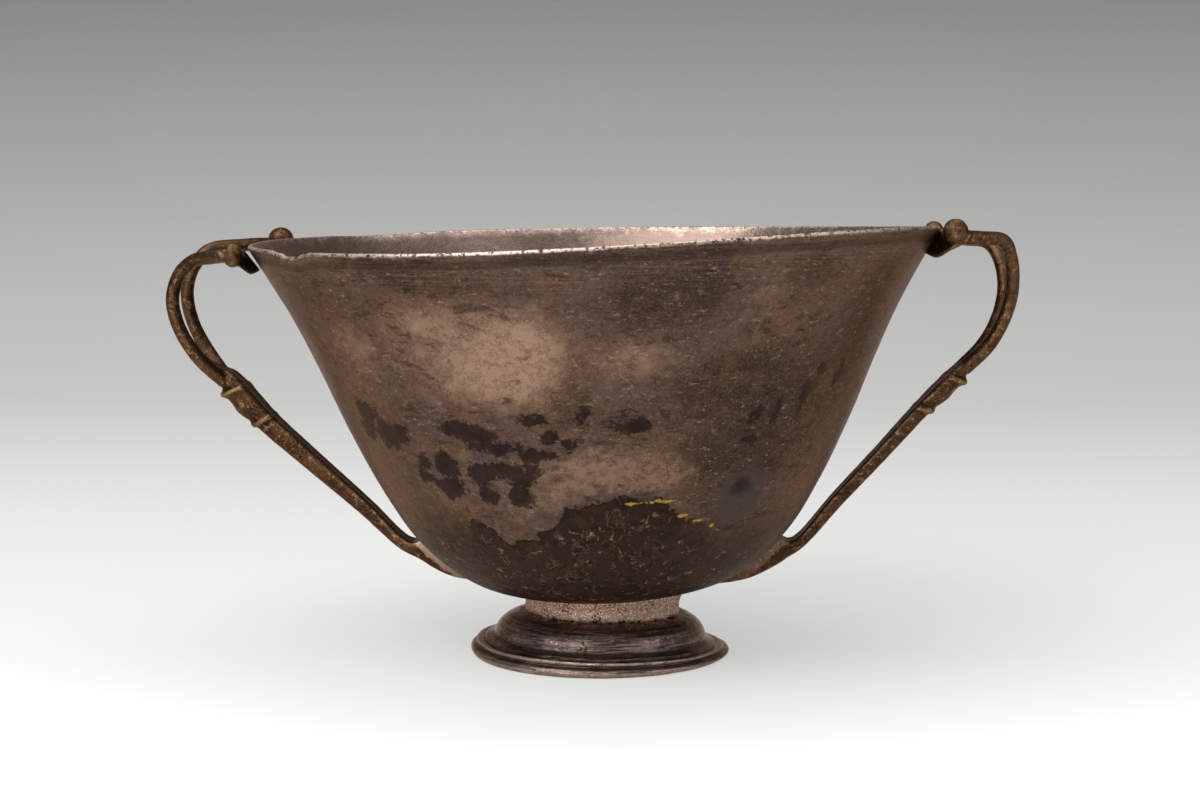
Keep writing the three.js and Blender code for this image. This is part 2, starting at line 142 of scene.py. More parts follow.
# Handles
ROD_RADIUS = 1.5
ROD_ROOT_RADIUS = 1.65
ROD_END_RADIUS = 1.6
ROD_SIDES = 24
ROD_ROOT_SHARE = 0.3
ROD_END_SHARE = 0.25
CROWN_FROM = 3
CROWN_TOP = 5.4
BILL_HALF_WIDTH = 1.7
BILL_HALF_HEIGHT = 2.95
BILL_CHEEK_HALF_WIDTH = 1.9
BILL_CHEEK_DROP = 0.85
BILL_THROAT_HALF_HEIGHT = 2.1
BILL_THROAT_DROP = 0.7
BILL_NAPE = 2.8
BILL_NAPE_RADIUS = 1.2
BILL_TURN = 4.8
SEAT_GAP = 0.06
HANDLE_VOXEL = 0.3
STEM_STEP = 0.3
STEM_SECTION_POINTS = 26
ROD_POINTS = 120
BILL_STEPS = 10
BILL_SIDES = 24
# Distance up the stem, height of the moulding on its outer side
COLLAR = [
    (0, 0), (0.4, 0.65), (1.3, 0.7), (2, 0.1), (3.6, 0.55), (5.4, 0.85), (7.6, 0.6), (9, 0.65),
    (10.3, 1.5), (10.9, 1.35), (11.5, 0),
]
COLLAR_SLANT = 1.7
# Half of the stem's section: share of the half width, share of the depth
STEM_SECTION = [(0, 0), (0.5, 0.07), (0.86, 0.28), (1, 0.6), (0.9, 1), (0, 1)]

# The two handles are bent differently.
# sides, the clockwise one first: rise of the rod's crown, rise of the knob, its radius and half height,
# how far the middle of the bill's face lies below the rim, and its tilt where the solder has let go.
# rods: share of the bowl's depth, distance out from the wall, angle off the handle's middle.
# stem and tongue: share of the depth, distance of the outer edge, depth, half width.
HANDLES = [
    {
        "name": "handle_right",
        "turn": 2.2,
        "collar_at": 6.7,
        "pale_solder": 0.3,
        "sides": [(1.2, 1.4, 2.7, 2.85, 2.6, 0), (0, 0.6, 2.2, 2.2, 2.6, 0)],
        "rods": [
            (0.602, 21.2, 1.2), (0.67, 24.3, 2.1), (0.753, 24.9, 2.8), (0.834, 23.1, 3.7),
            (0.904, 19.6, 5.3), (0.949, 15.8, 7.5), (0.961, 10.7, 10.2), (0.977, 4.9, 13.6),
        ],
        "stem": [
            (0.644, 24.9, 1.6, 2.4), (0.592, 22.9, 3, 3.2), (0.479, 17.9, 3.4, 3.1),
            (0.347, 13, 3.2, 2.9), (0.22, 8.9, 3, 2.8),
        ],
        "tongue": [
            (0.172, 6, 2.7, 3.2), (0.142, 5.5, 3.2, 3.6), (0.122, 5, 7, 3.7), (0.092, 4.3, 7, 3.7),
            (0.056, 3.2, 6, 3.1), (0.039, 2.4, 5, 2.2), (0.018, 1.2, 4, 0.8),
        ],
    },
    {
        "name": "handle_left",
        "turn": 180,
        "collar_at": 6.4,
        "pale_solder": 1,
        "sides": [(1.9, 1.6, 2.95, 2.75, 2.6, 0), (0, -0.1, 2.1, 2.6, 1.5, 6)],
        "rods": [
            (0.625, 23.5, 1.1), (0.7, 25.9, 3.4), (0.786, 26.4, 4), (0.869, 24.1, 4), (0.936, 19.4, 3.8),
            (0.974, 14.3, 4.8), (0.986, 8.5, 9.3), (0.997, 3.9, 18.4),
        ],
        "stem": [
            (0.668, 26.9, 1.6, 2.4), (0.612, 25.3, 4.4, 3.2), (0.496, 21.8, 4.7, 3.2),
            (0.386, 16.6, 4.2, 3), (0.23, 9.7, 3.4, 2.8),
        ],
        "tongue": [
            (0.184, 5.9, 2.9, 3.1), (0.157, 5, 3.4, 3.5), (0.138, 4.3, 6, 3.6), (0.098, 3.5, 6, 3),
            (0.068, 2.5, 5, 2), (0.05, 1.5, 4, 0.8),
        ],
    },
]

# Worked skin: depth and size of its lumps
BOWL_SKIN = (0.3, 16)
FOOT_SKIN = (0.25, 6)
HANDLE_SKIN = (0.18, 2.5)

# Silver seen at a grazing angle: its colour, 0 to 255, and its strength
EDGE_TINT = (226, 202, 184)
EDGE_LEVEL = 0.3

# Patina, with painted light and shade, on the bowl's outside. Places are the angle round the axis and the
# height.
# Upper edge of the dark crust round the underside
CRUST_EDGE = [
    (-176, 36), (-150, 34), (-130, 36), (-117, 35.6), (-112, 31.4), (-105, 33.2), (-99, 35), (-95, 39.4),
    (-87, 41.5), (-73, 40.8), (-67, 37), (-58, 34.4), (-51, 31.3), (-38, 31), (-17, 30.6), (4, 35),
    (24, 32), (41, 38), (58, 39), (71, 34), (90, 31), (104, 37), (118, 40), (135, 35), (152, 32),
    (168, 37),
]
# Where that edge is lifted and crisp: middle and half width of the stretch
LIFTED_CRUST = [(-93, 48), (75, 60)]
# Dark spots where the tarnish is thickest: place, half width, half height
DARK_SPOTS = [
    (-142, 58.7, 3.2, 1.9), (-144, 55.4, 2.4, 2.2), (-137, 54.6, 3.2, 2.6), (-132, 55, 2.2, 1.8),
    (-116, 56.9, 3.4, 1.5), (-111, 54.6, 3.2, 2), (-107, 52.6, 3, 1.3), (-128, 49.2, 1.2, 1.4),
    (-122, 48.7, 2.8, 2.5), (-130, 45.9, 1.5, 0.9), (-123, 44, 3.1, 2), (-113, 47.5, 2.6, 2),
    (-107, 48.3, 4.6, 1.2), (-104, 46, 2.3, 2.1), (-113, 42.7, 2.2, 1.7), (-105, 42.7, 2.4, 2),
    (-99, 58.5, 1.7, 0.8), (-96, 54.9, 1.5, 0.9), (-99, 51.4, 2.6, 0.9), (-93, 53.4, 1.7, 1.2),
    (-90, 59.2, 1.6, 0.9), (-79, 56.9, 2.4, 0.8), (-41, 60.5, 0.9, 2.2), (-38, 65.2, 0.7, 0.8),
    (-31, 64, 0.8, 2), (-53, 57.3, 1.1, 1), (-48, 56.9, 0.7, 1.4), (-53, 52, 1, 0.7), (12, 52, 2.4, 1.3),
    (17, 55, 1.4, 2), (38, 47, 3, 1.8), (45, 50, 1.8, 1.2), (66, 58, 3.6, 1.4), (72, 55, 2, 2.2),
    (97, 46, 2.6, 2.4), (103, 50, 4, 1.2), (128, 60, 1.2, 2.2), (133, 56, 2.4, 1.4), (158, 48, 3, 1.6),
    (163, 45, 1.6, 2), (-165, 52, 2.2, 1.4),
]
# Soft dark clouds, partly tarnish and partly painted shade on the right side and the top: place, half
# width, half height, strength
DARK_CLOUDS_AND_SHADE = [
    (-118, 88, 6, 3, 0.8), (-140, 84, 10, 6, 0.5), (-107, 86, 17, 3.5, 0.45), (-91, 66, 5, 7, 0.6),
    (-78, 82, 8, 7, 0.95), (-69, 85, 6, 8, 1), (-63, 65, 12, 5, 0.9), (-82, 58, 16, 3.5, 0.4),
    (-45, 58, 18, 14, 0.85), (-50, 86, 10, 4, 0.6), (-30, 75, 8, 16, 0.7), (-60, 48, 14, 7, 0.6),
    (-84, 92, 24, 2.5, 0.7), (-128, 70, 6, 12, 0.45), (-120, 92, 14, 2.5, 0.6), (15, 80, 12, 8, 0.6),
    (40, 62, 14, 10, 0.7), (62, 84, 10, 5, 0.8), (85, 70, 9, 12, 0.5), (110, 86, 16, 4, 0.7),
    (128, 66, 10, 10, 0.7), (150, 80, 12, 6, 0.5), (175, 66, 10, 12, 0.6),
]
# Soft pale patches, partly where the skin is thin and partly painted light where the lamp falls on the
# wall
PALE_AND_LIT_PATCHES = [
    (-109, 72, 17, 9, 0.7), (-99, 73.5, 8, 7, 0.9), (-104, 66, 11, 5, 0.6), (-79, 70, 11, 6, 0.4),
    (-116, 80, 12, 4, 0.35), (-88, 48, 12, 5, 0.35), (-57, 82, 7, 6, 0.25), (-108, 44, 22, 9, 0.3),
    (-134, 72, 12, 8, 0.35), (28, 74, 13, 8, 0.5), (72, 72, 14, 7, 0.6), (98, 66, 10, 8, 0.5),
    (142, 70, 10, 8, 0.5), (-160, 70, 10, 9, 0.4),
]
# Pale flaking skin just above the crust
FLAKING = [
    (-84, 48, 11, 5, 1), (-73, 46, 9, 4.5, 0.9), (-97, 42, 8, 4, 0.5), (55, 46, 12, 5, 0.9),
    (112, 46, 9, 5, 0.7),
]
# Smooth grey-blue spot with a darker middle
GREY_SPOT = (-51, 39.6, 6.2, 6.4)
GREY_SPOT_MIDDLE = (-52, 42, 3, 2.2)
# Gilt-coloured flecks along the crust's edge
GOLD_FLECKS = [
    (-80, 40.2, 2.4, 0.45), (-75, 40.6, 1.8, 0.4), (-71, 40.3, 1.5, 0.35), (-66, 36.8, 1.8, 0.5),
    (-62, 35.4, 1.6, 0.45), (-57, 34, 1, 0.6), (-55, 32.8, 0.8, 0.5), (60, 39.4, 2, 0.4),
    (101, 36.4, 1.6, 0.4),
]

# Camera: worked out from the photo, measured from the foot's axis
CAMERA_PLACE = (31.24, -483.06, 107.2)
CAMERA_PITCH = 84.006
CAMERA_TURN = 3.7
CAMERA_LENS = 66
SENSOR_WIDTH = 36

# Backdrop: painted light and shade, as the paper's tone by its share of the way from the front to the top
# of the back, and the part of its brightness that is a painted glow from the paper itself
PAPER_FRONT = -100
PAPER_BACK = 1300
PAPER_PAINTED_TONES = [(0, 1), (0.07, 0.88), (0.31, 0.7), (0.6, 0.54), (1, 0.25)]
PAPER_PAINTED_GLOW = 0.52

# Lights: place, where each points, width and height, watts
LIGHTS = {
    "key": ((-420, -520, 760), (0, 0, 40), (800, 800), 7.4),
    "fill": ((700, -250, 420), (0, 0, 50), (500, 500), 1.3),
    "top": ((0, 120, 900), (0, 0, 40), (1100, 800), 4.5),
    "low": ((-260, -760, 90), (0, 0, 20), (600, 160), 2),
}
AIR_COLOUR = (0.75, 0.77, 0.8, 1)
AIR_STRENGTH = 0.34


# Curves and bends

def smoothstep(value, low, high):
    share = np.clip((value - low) / (high - low), 0, 1)
    return share * share * (3 - 2 * share)


def hump(angle, middle, half_width):
    """One at the middle of a stretch of angle, smoothly down to zero at its ends."""
    away = np.abs((np.asarray(angle) - middle + 180) % 360 - 180)
    return np.where(away < half_width, 0.5 + 0.5 * np.cos(np.pi * away / half_width), 0)


def polar(points):
    """Angle round the axis in degrees, and distance from the axis."""
    return np.degrees(np.arctan2(points[:, 1], points[:, 0])), np.hypot(points[:, 0], points[:, 1])


def depth_share(points):
    """Share of the bowl's depth, from its underside to the rim."""
    return (points[:, 2] - BOWL_UNDERSIDE) / BOWL_DEPTH


def directions(line):
    along = np.gradient(line, axis=0)
    return along / np.linalg.norm(along, axis=1)[:, None]


def even_curve(points, count):
    """Catmull-Rom curve of a number of points, with the same share of its run for each span."""
    points = np.array(points, float)
    last = len(points) - 1
    run = np.linspace(0, 1, count) * last
    span = np.minimum(run.astype(int), last - 1)
    t = (run - span)[:, None]
    before = points[np.maximum(span - 1, 0)]
    start = points[span]
    end = points[span + 1]
    after = points[np.minimum(span + 2, last)]
    leave = (end - before) / 2
    arrive = (after - start) / 2
    return (
        (2 * start - 2 * end + leave + arrive) * t**3
        + (3 * end - 3 * start - 2 * leave - arrive) * t**2
        + leave * t
        + start
    )


def rounded_curve(points, per_span):
    """Centripetal Catmull-Rom curve through the points, with per_span steps in each span."""
    points = np.array(points, float)
    points = np.vstack([2 * points[0] - points[1], points, 2 * points[-1] - points[-2]])
    rows = []
    for span in range(len(points) - 3):
        x0, x1, x2, x3 = points[span : span + 4]
        d0, d1, d2 = (np.linalg.norm(b - a) ** 0.5 for a, b in ((x0, x1), (x1, x2), (x2, x3)))
        leave = ((x1 - x0) / d0 - (x2 - x0) / (d0 + d1) + (x2 - x1) / d1) * d1
        arrive = ((x2 - x1) / d1 - (x3 - x1) / (d1 + d2) + (x3 - x2) / d2) * d1
        steps = per_span + (span == len(points) - 4)
        t = (np.arange(steps) / per_span)[:, None]
        rows.append(
            x1 + leave * t + (3 * x2 - 3 * x1 - 2 * leave - arrive) * t**2
            + (2 * x1 - 2 * x2 + leave + arrive) * t**3
        )
    return np.vstack(rows)


def run_lengths(line):
    steps = np.linalg.norm(np.diff(line, axis=0), axis=1)
    return np.concatenate([[0], np.cumsum(steps)])


def at_lengths(line, wanted, lengths=None):
    """Rows of a table at the wanted run lengths; its own lengths unless others are given."""
    lengths = run_lengths(line) if lengths is None else lengths
    return np.column_stack([np.interp(wanted, lengths, column) for column in line.T])


def bowl_rows(count):
    """The outer side of the bowl at even distances: radius and height, and the outward normal."""
    side = even_curve(BOWL_SIDE, BOWL_SIDE_POINTS)
    side = side * (RIM_RADIUS, BOWL_DEPTH) + (0, BOWL_UNDERSIDE)
    lengths = run_lengths(side)
    rows = at_lengths(side, np.linspace(0, lengths[-1], count + 1))
    along = directions(rows)
    normals = np.column_stack([along[:, 1], -along[:, 0]])
    normals[0] = (0, -1)
    return rows, normals


WALL_ROWS, WALL_NORMALS = bowl_rows(WALL_POINTS)
WALL_KNOWN = WALL_ROWS[:, 1] > BOWL_UNDERSIDE + 0.002 * BOWL_DEPTH


def wall_at(height):
    """Radius and outward normal of the bowl's outer side at a height."""
    heights = WALL_ROWS[WALL_KNOWN, 1]
    radius = np.interp(height, heights, WALL_ROWS[WALL_KNOWN, 0])
    out = np.interp(height, heights, WALL_NORMALS[WALL_KNOWN, 0])
    up = np.interp(height, heights, WALL_NORMALS[WALL_KNOWN, 1])
    return radius, out, up


def rim_rise(angle):
    return sum(height * np.cos(lobes * np.radians(angle - at)) for lobes, height, at in RIM_SWAYS)


def bend_bowl(points):
    points = np.array(points, float)
    angle, radius = polar(points)
    share = depth_share(points)
    points[:, 2] += rim_rise(angle) * share**2
    nick = hump(angle, NICK_AT, NICK_HALF_WIDTH) * smoothstep(share, NICK_SHARE, 1)
    points[:, 2] -= NICK_DROP * nick
    points[:, :2] *= (1 - NICK_DENT * nick / np.maximum(radius, 1e-6))[:, None]
    return points


def lean_matrix():
    towards = math.radians(LEAN_TOWARDS)
    x, y = -math.sin(towards), math.cos(towards)
    c, s = math.cos(math.radians(LEAN)), math.sin(math.radians(LEAN))
    return np.array([
        [c + x * x * (1 - c), x * y * (1 - c), y * s],
        [x * y * (1 - c), c + y * y * (1 - c), -x * s],
        [-y * s, x * s, c],
    ])


FOOT_LOW, FOOT_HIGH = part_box("foot")
FOOT_AXIS = np.array([(FOOT_LOW.x + FOOT_HIGH.x) / 2, (FOOT_LOW.y + FOOT_HIGH.y) / 2, 0]) / MM
SEAT = np.array([0, 0, BOWL_UNDERSIDE])
SEAT_MOVE = -SEAT_SHIFT * np.array([
    math.cos(math.radians(LEAN_TOWARDS)), math.sin(math.radians(LEAN_TOWARDS)), 0,
])


def lean_cup(points):
    """From the bowl's own upright frame to where it leans on the foot, in the solids' frame."""
    return (points - SEAT) @ lean_matrix().T + SEAT + SEAT_MOVE + FOOT_AXIS


def bend_foot(points):
    points = np.array(points, float)
    x, y, z = points.T.copy()
    angle, radius = polar(points)
    tipped = smoothstep(z, 0, FILLET_TOP)
    ring = smoothstep(radius, NECK_RADIUS, FLANGE_RADIUS)
    points[:, 2] -= x * math.tan(math.radians(FOOT_TIP_RIGHT)) * tipped
    points[:, 2] -= y * math.tan(math.radians(FOOT_TIP_BACK)) * tipped
    points[:, 2] += RING_LIFT * hump(angle, RING_LIFT_AT, RING_LIFT_HALF_WIDTH) * ring
    points[:, 0] += NECK_SLIP * smoothstep(z, FILLET_TOP, NECK_BOTTOM)
    return points


# Meshes

def new_object(name, data):
    made = bpy.data.objects.new(name, data)
    bpy.context.scene.collection.objects.link(made)
    return made


def mesh_object(name, points, faces):
    """A new object from points in millimetres."""
    mesh = bpy.data.meshes.new(name)
    mesh.from_pydata((np.asarray(points) * MM).tolist(), [], [list(map(int, face)) for face in faces])
    mesh.polygons.foreach_set("use_smooth", [True] * len(mesh.polygons))
    return new_object(name, mesh)


def turned_faces(rows, sides, closed):
    """Faces of a turned body with a number of full rows; closed joins the last row to the first."""
    faces = []
    for row in range(rows if closed else rows - 1):
        here = row * sides
        above = (row + 1) % rows * sides
        for side in range(sides):
            after = (side + 1) % sides
            faces.append((here + side, here + after, above + after, above + side))
    return faces


def turned_points(profile, sides):
    angles = np.arange(sides) * 2 * np.pi / sides
    radius = profile[:, 0][:, None]
    height = np.repeat(profile[:, 1][:, None], sides, axis=1)
    rings = np.stack([radius * np.cos(angles), radius * np.sin(angles), height], axis=2)
    return rings.reshape(-1, 3)


def noise_at(points, size, seed):
    """Smooth noise of about -1 to 1 at points in millimetres."""
    shift = Vector((seed * 17.3, seed * 5.1, seed * 9.7))
    return np.array([noise.noise(Vector(point) / size + shift) for point in points])


def keep_attribute(piece, name, values):
    attribute = piece.data.attributes.new(name, "FLOAT", "POINT")
    attribute.data.foreach_set("value", np.asarray(values, np.float32))


def points_of(piece):
    places = np.empty(len(piece.data.vertices) * 3, np.float32)
    piece.data.vertices.foreach_get("co", places)
    return places.reshape(-1, 3) / MM


def move_points(piece, points):
    piece.data.vertices.foreach_set("co", (points * MM).astype(np.float32).ravel())
    piece.data.update()


def clip_to_solids(piece):
    """Points of the worked skin stay inside the box of the solids."""
    inset = BOX_INSET * np.array([1, 1, 0])
    low, high = np.array(solids_low) / MM, np.array(solids_high) / MM
    move_points(piece, np.clip(points_of(piece), low + inset, high - inset))


def keep_ridge(piece):
    """Stores how far each point stands proud of its neighbours: ridges above zero, hollows below."""
    mesh = piece.data
    count = len(mesh.vertices)
    places = points_of(piece).astype(float)
    ends = np.empty(len(mesh.edges) * 2, int)
    mesh.edges.foreach_get("vertices", ends)
    ends = ends.reshape(-1, 2)
    normals = np.empty(count * 3, np.float32)
    mesh.vertices.foreach_get("normal", normals)
    normals = normals.reshape(-1, 3)
    neighbours = np.bincount(ends.ravel(), minlength=count)[:, None]

    def mean(first, second):
        """Mean of the edges' values at each point; an edge gives its first end one, its second another."""
        total = np.zeros((count, first.shape[1]))
        np.add.at(total, ends[:, 0], first)
        np.add.at(total, ends[:, 1], second)
        return total / np.maximum(neighbours, 1)

    def around(values):
        return mean(values[ends[:, 1]], values[ends[:, 0]])

    step = np.linalg.norm(places[ends[:, 0]] - places[ends[:, 1]], axis=1)[:, None]
    reach = mean(step, step)
    ridge = np.sum((places - around(places)) * normals, axis=1)[:, None] / np.maximum(reach, 1e-6) ** 2
    for _ in range(3):
        ridge = (ridge + around(ridge)) / 2
    keep_attribute(piece, "ridge", ridge.ravel())


def flattened(piece):
    """The piece with its modifiers made real."""
    evaluated = piece.evaluated_get(bpy.context.evaluated_depsgraph_get())
    mesh = bpy.data.meshes.new_from_object(evaluated)
    old = piece.data
    piece.modifiers.clear()
    piece.data = mesh
    bpy.data.meshes.remove(old)
    mesh.name = piece.name
    mesh.polygons.foreach_set("use_smooth", [True] * len(mesh.polygons))
    return piece


# Nodes

class Nodes:
    """Short ways to add nodes to one tree. A value is a number, a colour or another node's output."""

    def __init__(self, tree):
        self.tree = tree

    def put(self, socket, value):
        if isinstance(value, bpy.types.NodeSocket):
            self.tree.links.new(value, socket)
        else:
            socket.default_value = value

    def add(self, kind, inputs, **settings):
        node = self.tree.nodes.new(kind)
        for name, value in settings.items():
            setattr(node, name, value)
        for name, value in inputs.items():
            self.put(node.inputs[name], value)
        return node

    def math(self, operation, first, second=0.0):
        return self.add("ShaderNodeMath", {0: first, 1: second}, operation=operation).outputs[0]

    def times(self, first, second):
        return self.math("MULTIPLY", first, second)

    def plus(self, first, second):
        return self.math("ADD", first, second)

    def minus(self, first, second):
        return self.math("SUBTRACT", first, second)

    def step(self, value, low, high, start=0.0, end=1.0):
        """Smoothly from start to end while value runs from low to high."""
        inputs = {"Value": value, "From Min": low, "From Max": high, "To Min": start, "To Max": end}
        return self.add("ShaderNodeMapRange", inputs, interpolation_type="SMOOTHSTEP").outputs["Result"]

    def total(self, start, *shares):
        """A start value plus each value times its share."""
        for value, share in shares:
            start = self.plus(start, self.times(value, share))
        return start

    def mix(self, share, first, second):
        node = self.add("ShaderNodeMix", {}, data_type="RGBA", blend_type="MIX")
        self.put(node.inputs["Factor"], share)
        self.put(node.inputs[6], first)
        self.put(node.inputs[7], second)
        return node.outputs[2]

    def layers(self, colour, *layers):
        """Colours laid over one another, each as strongly as its mask times a number."""
        for over, mask, strength in layers:
            colour = self.mix(self.times(mask, strength), colour, over)
        return colour

    def noise(self, place, size, detail=4.0, roughness=0.55, distortion=0.0):
        """Noise of about 0.25 to 0.75, with features of a size in the place's own unit."""
        inputs = {"Vector": place, "Scale": self.math("DIVIDE", 1.0, size), "Detail": detail}
        inputs.update({"Roughness": roughness, "Distortion": distortion})
        return self.add("ShaderNodeTexNoise", inputs).outputs["Fac"]

    def cells(self, place, size):
        """Distance to the middle of the nearest cell, in cells."""
        inputs = {"Vector": place, "Scale": self.math("DIVIDE", 1.0, size)}
        return self.add("ShaderNodeTexVoronoi", inputs).outputs["Distance"]

    def attribute(self, name):
        return self.add("ShaderNodeAttribute", {}, attribute_name=name).outputs["Fac"]

    def place(self, stretch=(1, 1, 1)):
        """Object coordinates in millimetres, stretched."""
        coordinates = self.add("ShaderNodeTexCoord", {}).outputs["Object"]
        scale = tuple(way / MM for way in stretch)
        return self.add("ShaderNodeMapping", {"Vector": coordinates, "Scale": scale}).outputs["Vector"]

    def group(self, tree, **inputs):
        node = self.tree.nodes.new("ShaderNodeGroup")
        node.node_tree = tree
        for name, value in inputs.items():
            self.put(node.inputs[name], value)
        return node.outputs

    def bump(self, height, distance):
        inputs = {"Height": height, "Distance": distance * MM}
        return self.add("ShaderNodeBump", inputs).outputs["Normal"]


# Geometry node trees

def new_tree(name, inputs):
    """Geometry tree with a Geometry input, the named inputs and a Geometry output."""
    tree = bpy.data.node_groups.new(name, "GeometryNodeTree")
    tree.interface.new_socket("Geometry", in_out="INPUT", socket_type="NodeSocketGeometry")
    for label, kind, value in inputs:
        socket = tree.interface.new_socket(label, in_out="INPUT", socket_type=kind)
        if value is not None:
            socket.default_value = value
    tree.interface.new_socket("Geometry", in_out="OUTPUT", socket_type="NodeSocketGeometry")
    return Nodes(tree), tree.nodes.new("NodeGroupInput").outputs


def end_tree(nodes, geometry, source):
    """Every tree ends in real geometry with its material."""
    real = nodes.add("GeometryNodeRealizeInstances", {"Geometry": geometry}).outputs["Geometry"]
    dress = nodes.add("GeometryNodeSetMaterial", {"Geometry": real, "Material": source["Material"]})
    nodes.add("NodeGroupOutput", {"Geometry": dress.outputs["Geometry"]})
    return nodes.tree


def skin_tree():
    """Uneven hand-worked or cast skin: each point moves along its normal by smooth noise."""
    nodes, source = new_tree("worked_skin", [
        ("Depth", "NodeSocketFloat", 0.0001),
        ("Size", "NodeSocketFloat", 0.01),
        ("Seed", "NodeSocketFloat", 0.0),
        ("Material", "NodeSocketMaterial", None),
    ])
    place = nodes.add("GeometryNodeInputPosition", {}).outputs["Position"]
    normal = nodes.add("GeometryNodeInputNormal", {}).outputs["Normal"]
    per_metre = nodes.math("DIVIDE", 1.0, source["Size"])
    lump_inputs = {"Vector": place, "W": source["Seed"], "Scale": per_metre, "Detail": 3.0}
    lumps = nodes.add("ShaderNodeTexNoise", lump_inputs, noise_dimensions="4D").outputs["Fac"]
    height = nodes.times(nodes.minus(lumps, 0.5), source["Depth"])
    push = nodes.add("ShaderNodeVectorMath", {0: normal, "Scale": height}, operation="SCALE").outputs[0]
    moved = nodes.add("GeometryNodeSetPosition", {"Geometry": source["Geometry"], "Offset": push})
    return end_tree(nodes, moved.outputs["Geometry"], source)


def rod_tree():
    """Round rod along a path of edges, as thick as the path's thickness attribute says."""
    nodes, source = new_tree("cast_rod", [
        ("Sides", "NodeSocketInt", 24),
        ("Material", "NodeSocketMaterial", None),
    ])
    path = nodes.add("GeometryNodeMeshToCurve", {"Mesh": source["Geometry"]}).outputs["Curve"]
    named = nodes.add("GeometryNodeInputNamedAttribute", {"Name": "thickness"}, data_type="FLOAT")
    section = nodes.add("GeometryNodeCurvePrimitiveCircle", {"Resolution": source["Sides"], "Radius": 1.0})
    sweep = nodes.add("GeometryNodeCurveToMesh", {
        "Curve": path,
        "Profile Curve": section.outputs["Curve"],
        "Scale": named.outputs["Attribute"],
        "Fill Caps": True,
    })
    return end_tree(nodes, sweep.outputs["Mesh"], source)


def run_tree(piece, tree, **values):
    """Puts a tree on a piece, sets its inputs by their identifiers, and makes the result real."""
    modifier = piece.modifiers.new(tree.name, "NODES")
    modifier.node_group = tree
    names = {item.name: item.identifier for item in tree.interface.items_tree if item.in_out == "INPUT"}
    for name, value in values.items():
        modifier[names[name]] = value
    return flattened(piece)


def work_skin(piece, skin, lumps, seed, finish):
    """Gives a piece its uneven skin and its finish."""
    depth, size = lumps
    run_tree(piece, skin, Depth=depth * MM, Size=size * MM, Seed=seed, Material=finish)


# Bowl

def bowl_points():
    """Points of the bowl from the middle outside, over the lip, to the middle inside."""
    rows, _ = bowl_rows(OUTSIDE_ROWS)
    inner, inner_normals = bowl_rows(INSIDE_ROWS)
    inner = (inner - inner_normals * BOWL_WALL)[::-1]
    inner = inner[inner[:, 0] > POLE_RADIUS]
    outer = rows[1:]
    middle = (outer[-1] + inner[0]) / 2
    half = (inner[0] - outer[-1]) / 2
    turns = np.linspace(0, np.pi, LIP_ROWS + 2)[1:-1]
    up = np.array([-half[1], half[0]])
    up *= math.copysign(1, up[1])
    lip = np.array([middle - half * math.cos(turn) + up * math.sin(turn) for turn in turns])
    profile = np.vstack([outer, lip, inner])
    poles = [(0, 0, rows[0][1]), (0, 0, inner[-1][1])]
    points = np.vstack([turned_points(profile, BOWL_SIDES), poles])
    return points, len(profile), len(outer), len(lip)


def crumple(points):
    """Torn and folded edge at the nick, and the small step in the far rim."""
    points = np.array(points, float)
    angle, _ = polar(points)
    share = depth_share(points)
    torn = hump(angle, NICK_AT, NICK_HALF_WIDTH * NICK_REACH)
    near = np.flatnonzero((torn > 0) & (share > NICK_SHARE))
    amount = torn[near] * smoothstep(share[near], NICK_EDGE, 1)
    fold = NICK_FOLD * noise_at(points[near], NICK_FOLD_SIZE, 1)
    fold += NICK_CREASE * noise_at(points[near], NICK_CREASE_SIZE, 2)
    points[near, 2] += fold * amount
    out = points[near, :2] / np.linalg.norm(points[near, :2], axis=1)[:, None]
    buckle = noise_at(points[near], NICK_BUCKLE_SIZE, 3) * amount
    points[near, :2] += NICK_BUCKLE * out * buckle[:, None]
    step = smoothstep(angle, RIM_STEP_FROM, RIM_STEP_TO) * hump(angle, RIM_STEP_AT, RIM_STEP_HALF_WIDTH)
    points[:, 2] -= RIM_STEP * step * smoothstep(share, RIM_STEP_EDGE, 1)
    return points


def make_bowl():
    points, rows, outside, lip = bowl_points()
    faces = turned_faces(rows, BOWL_SIDES, False)
    last = (rows - 1) * BOWL_SIDES
    pole_out, pole_in = rows * BOWL_SIDES, rows * BOWL_SIDES + 1
    for side in range(BOWL_SIDES):
        after = (side + 1) % BOWL_SIDES
        faces.append((pole_out, after, side))
        faces.append((pole_in, last + side, last + after))
    shaped = lean_cup(bend_bowl(crumple(points)))
    bowl = mesh_object("bowl_detail", shaped, faces)
    keep_bowl_fields(bowl, points, outside, lip)
    return bowl


def in_patch(points, at, height, half_width, half_height):
    """Place across and up from a patch's middle, one at its edge."""
    angle, radius = polar(points)
    across = np.radians((angle - at + 180) % 360 - 180) * radius / half_width
    return across, (points[:, 2] - height) / half_height


def patch_depth(points, patches):
    """How far each point lies inside the nearest patch, in millimetres; below zero outside."""
    deepest = np.full(len(points), -20.0)
    for patch in patches:
        deepest = np.maximum(deepest, (1 - np.hypot(*in_patch(points, *patch))) * min(patch[2:]))
    return deepest


def patch_strength(points, patches):
    """Sum of soft patches, at most one."""
    total = np.zeros(len(points))
    for *patch, strength in patches:
        across, up = in_patch(points, *patch)
        total += strength * np.exp(-1.2 * (across**2 + up**2))
    return np.minimum(total, 1)


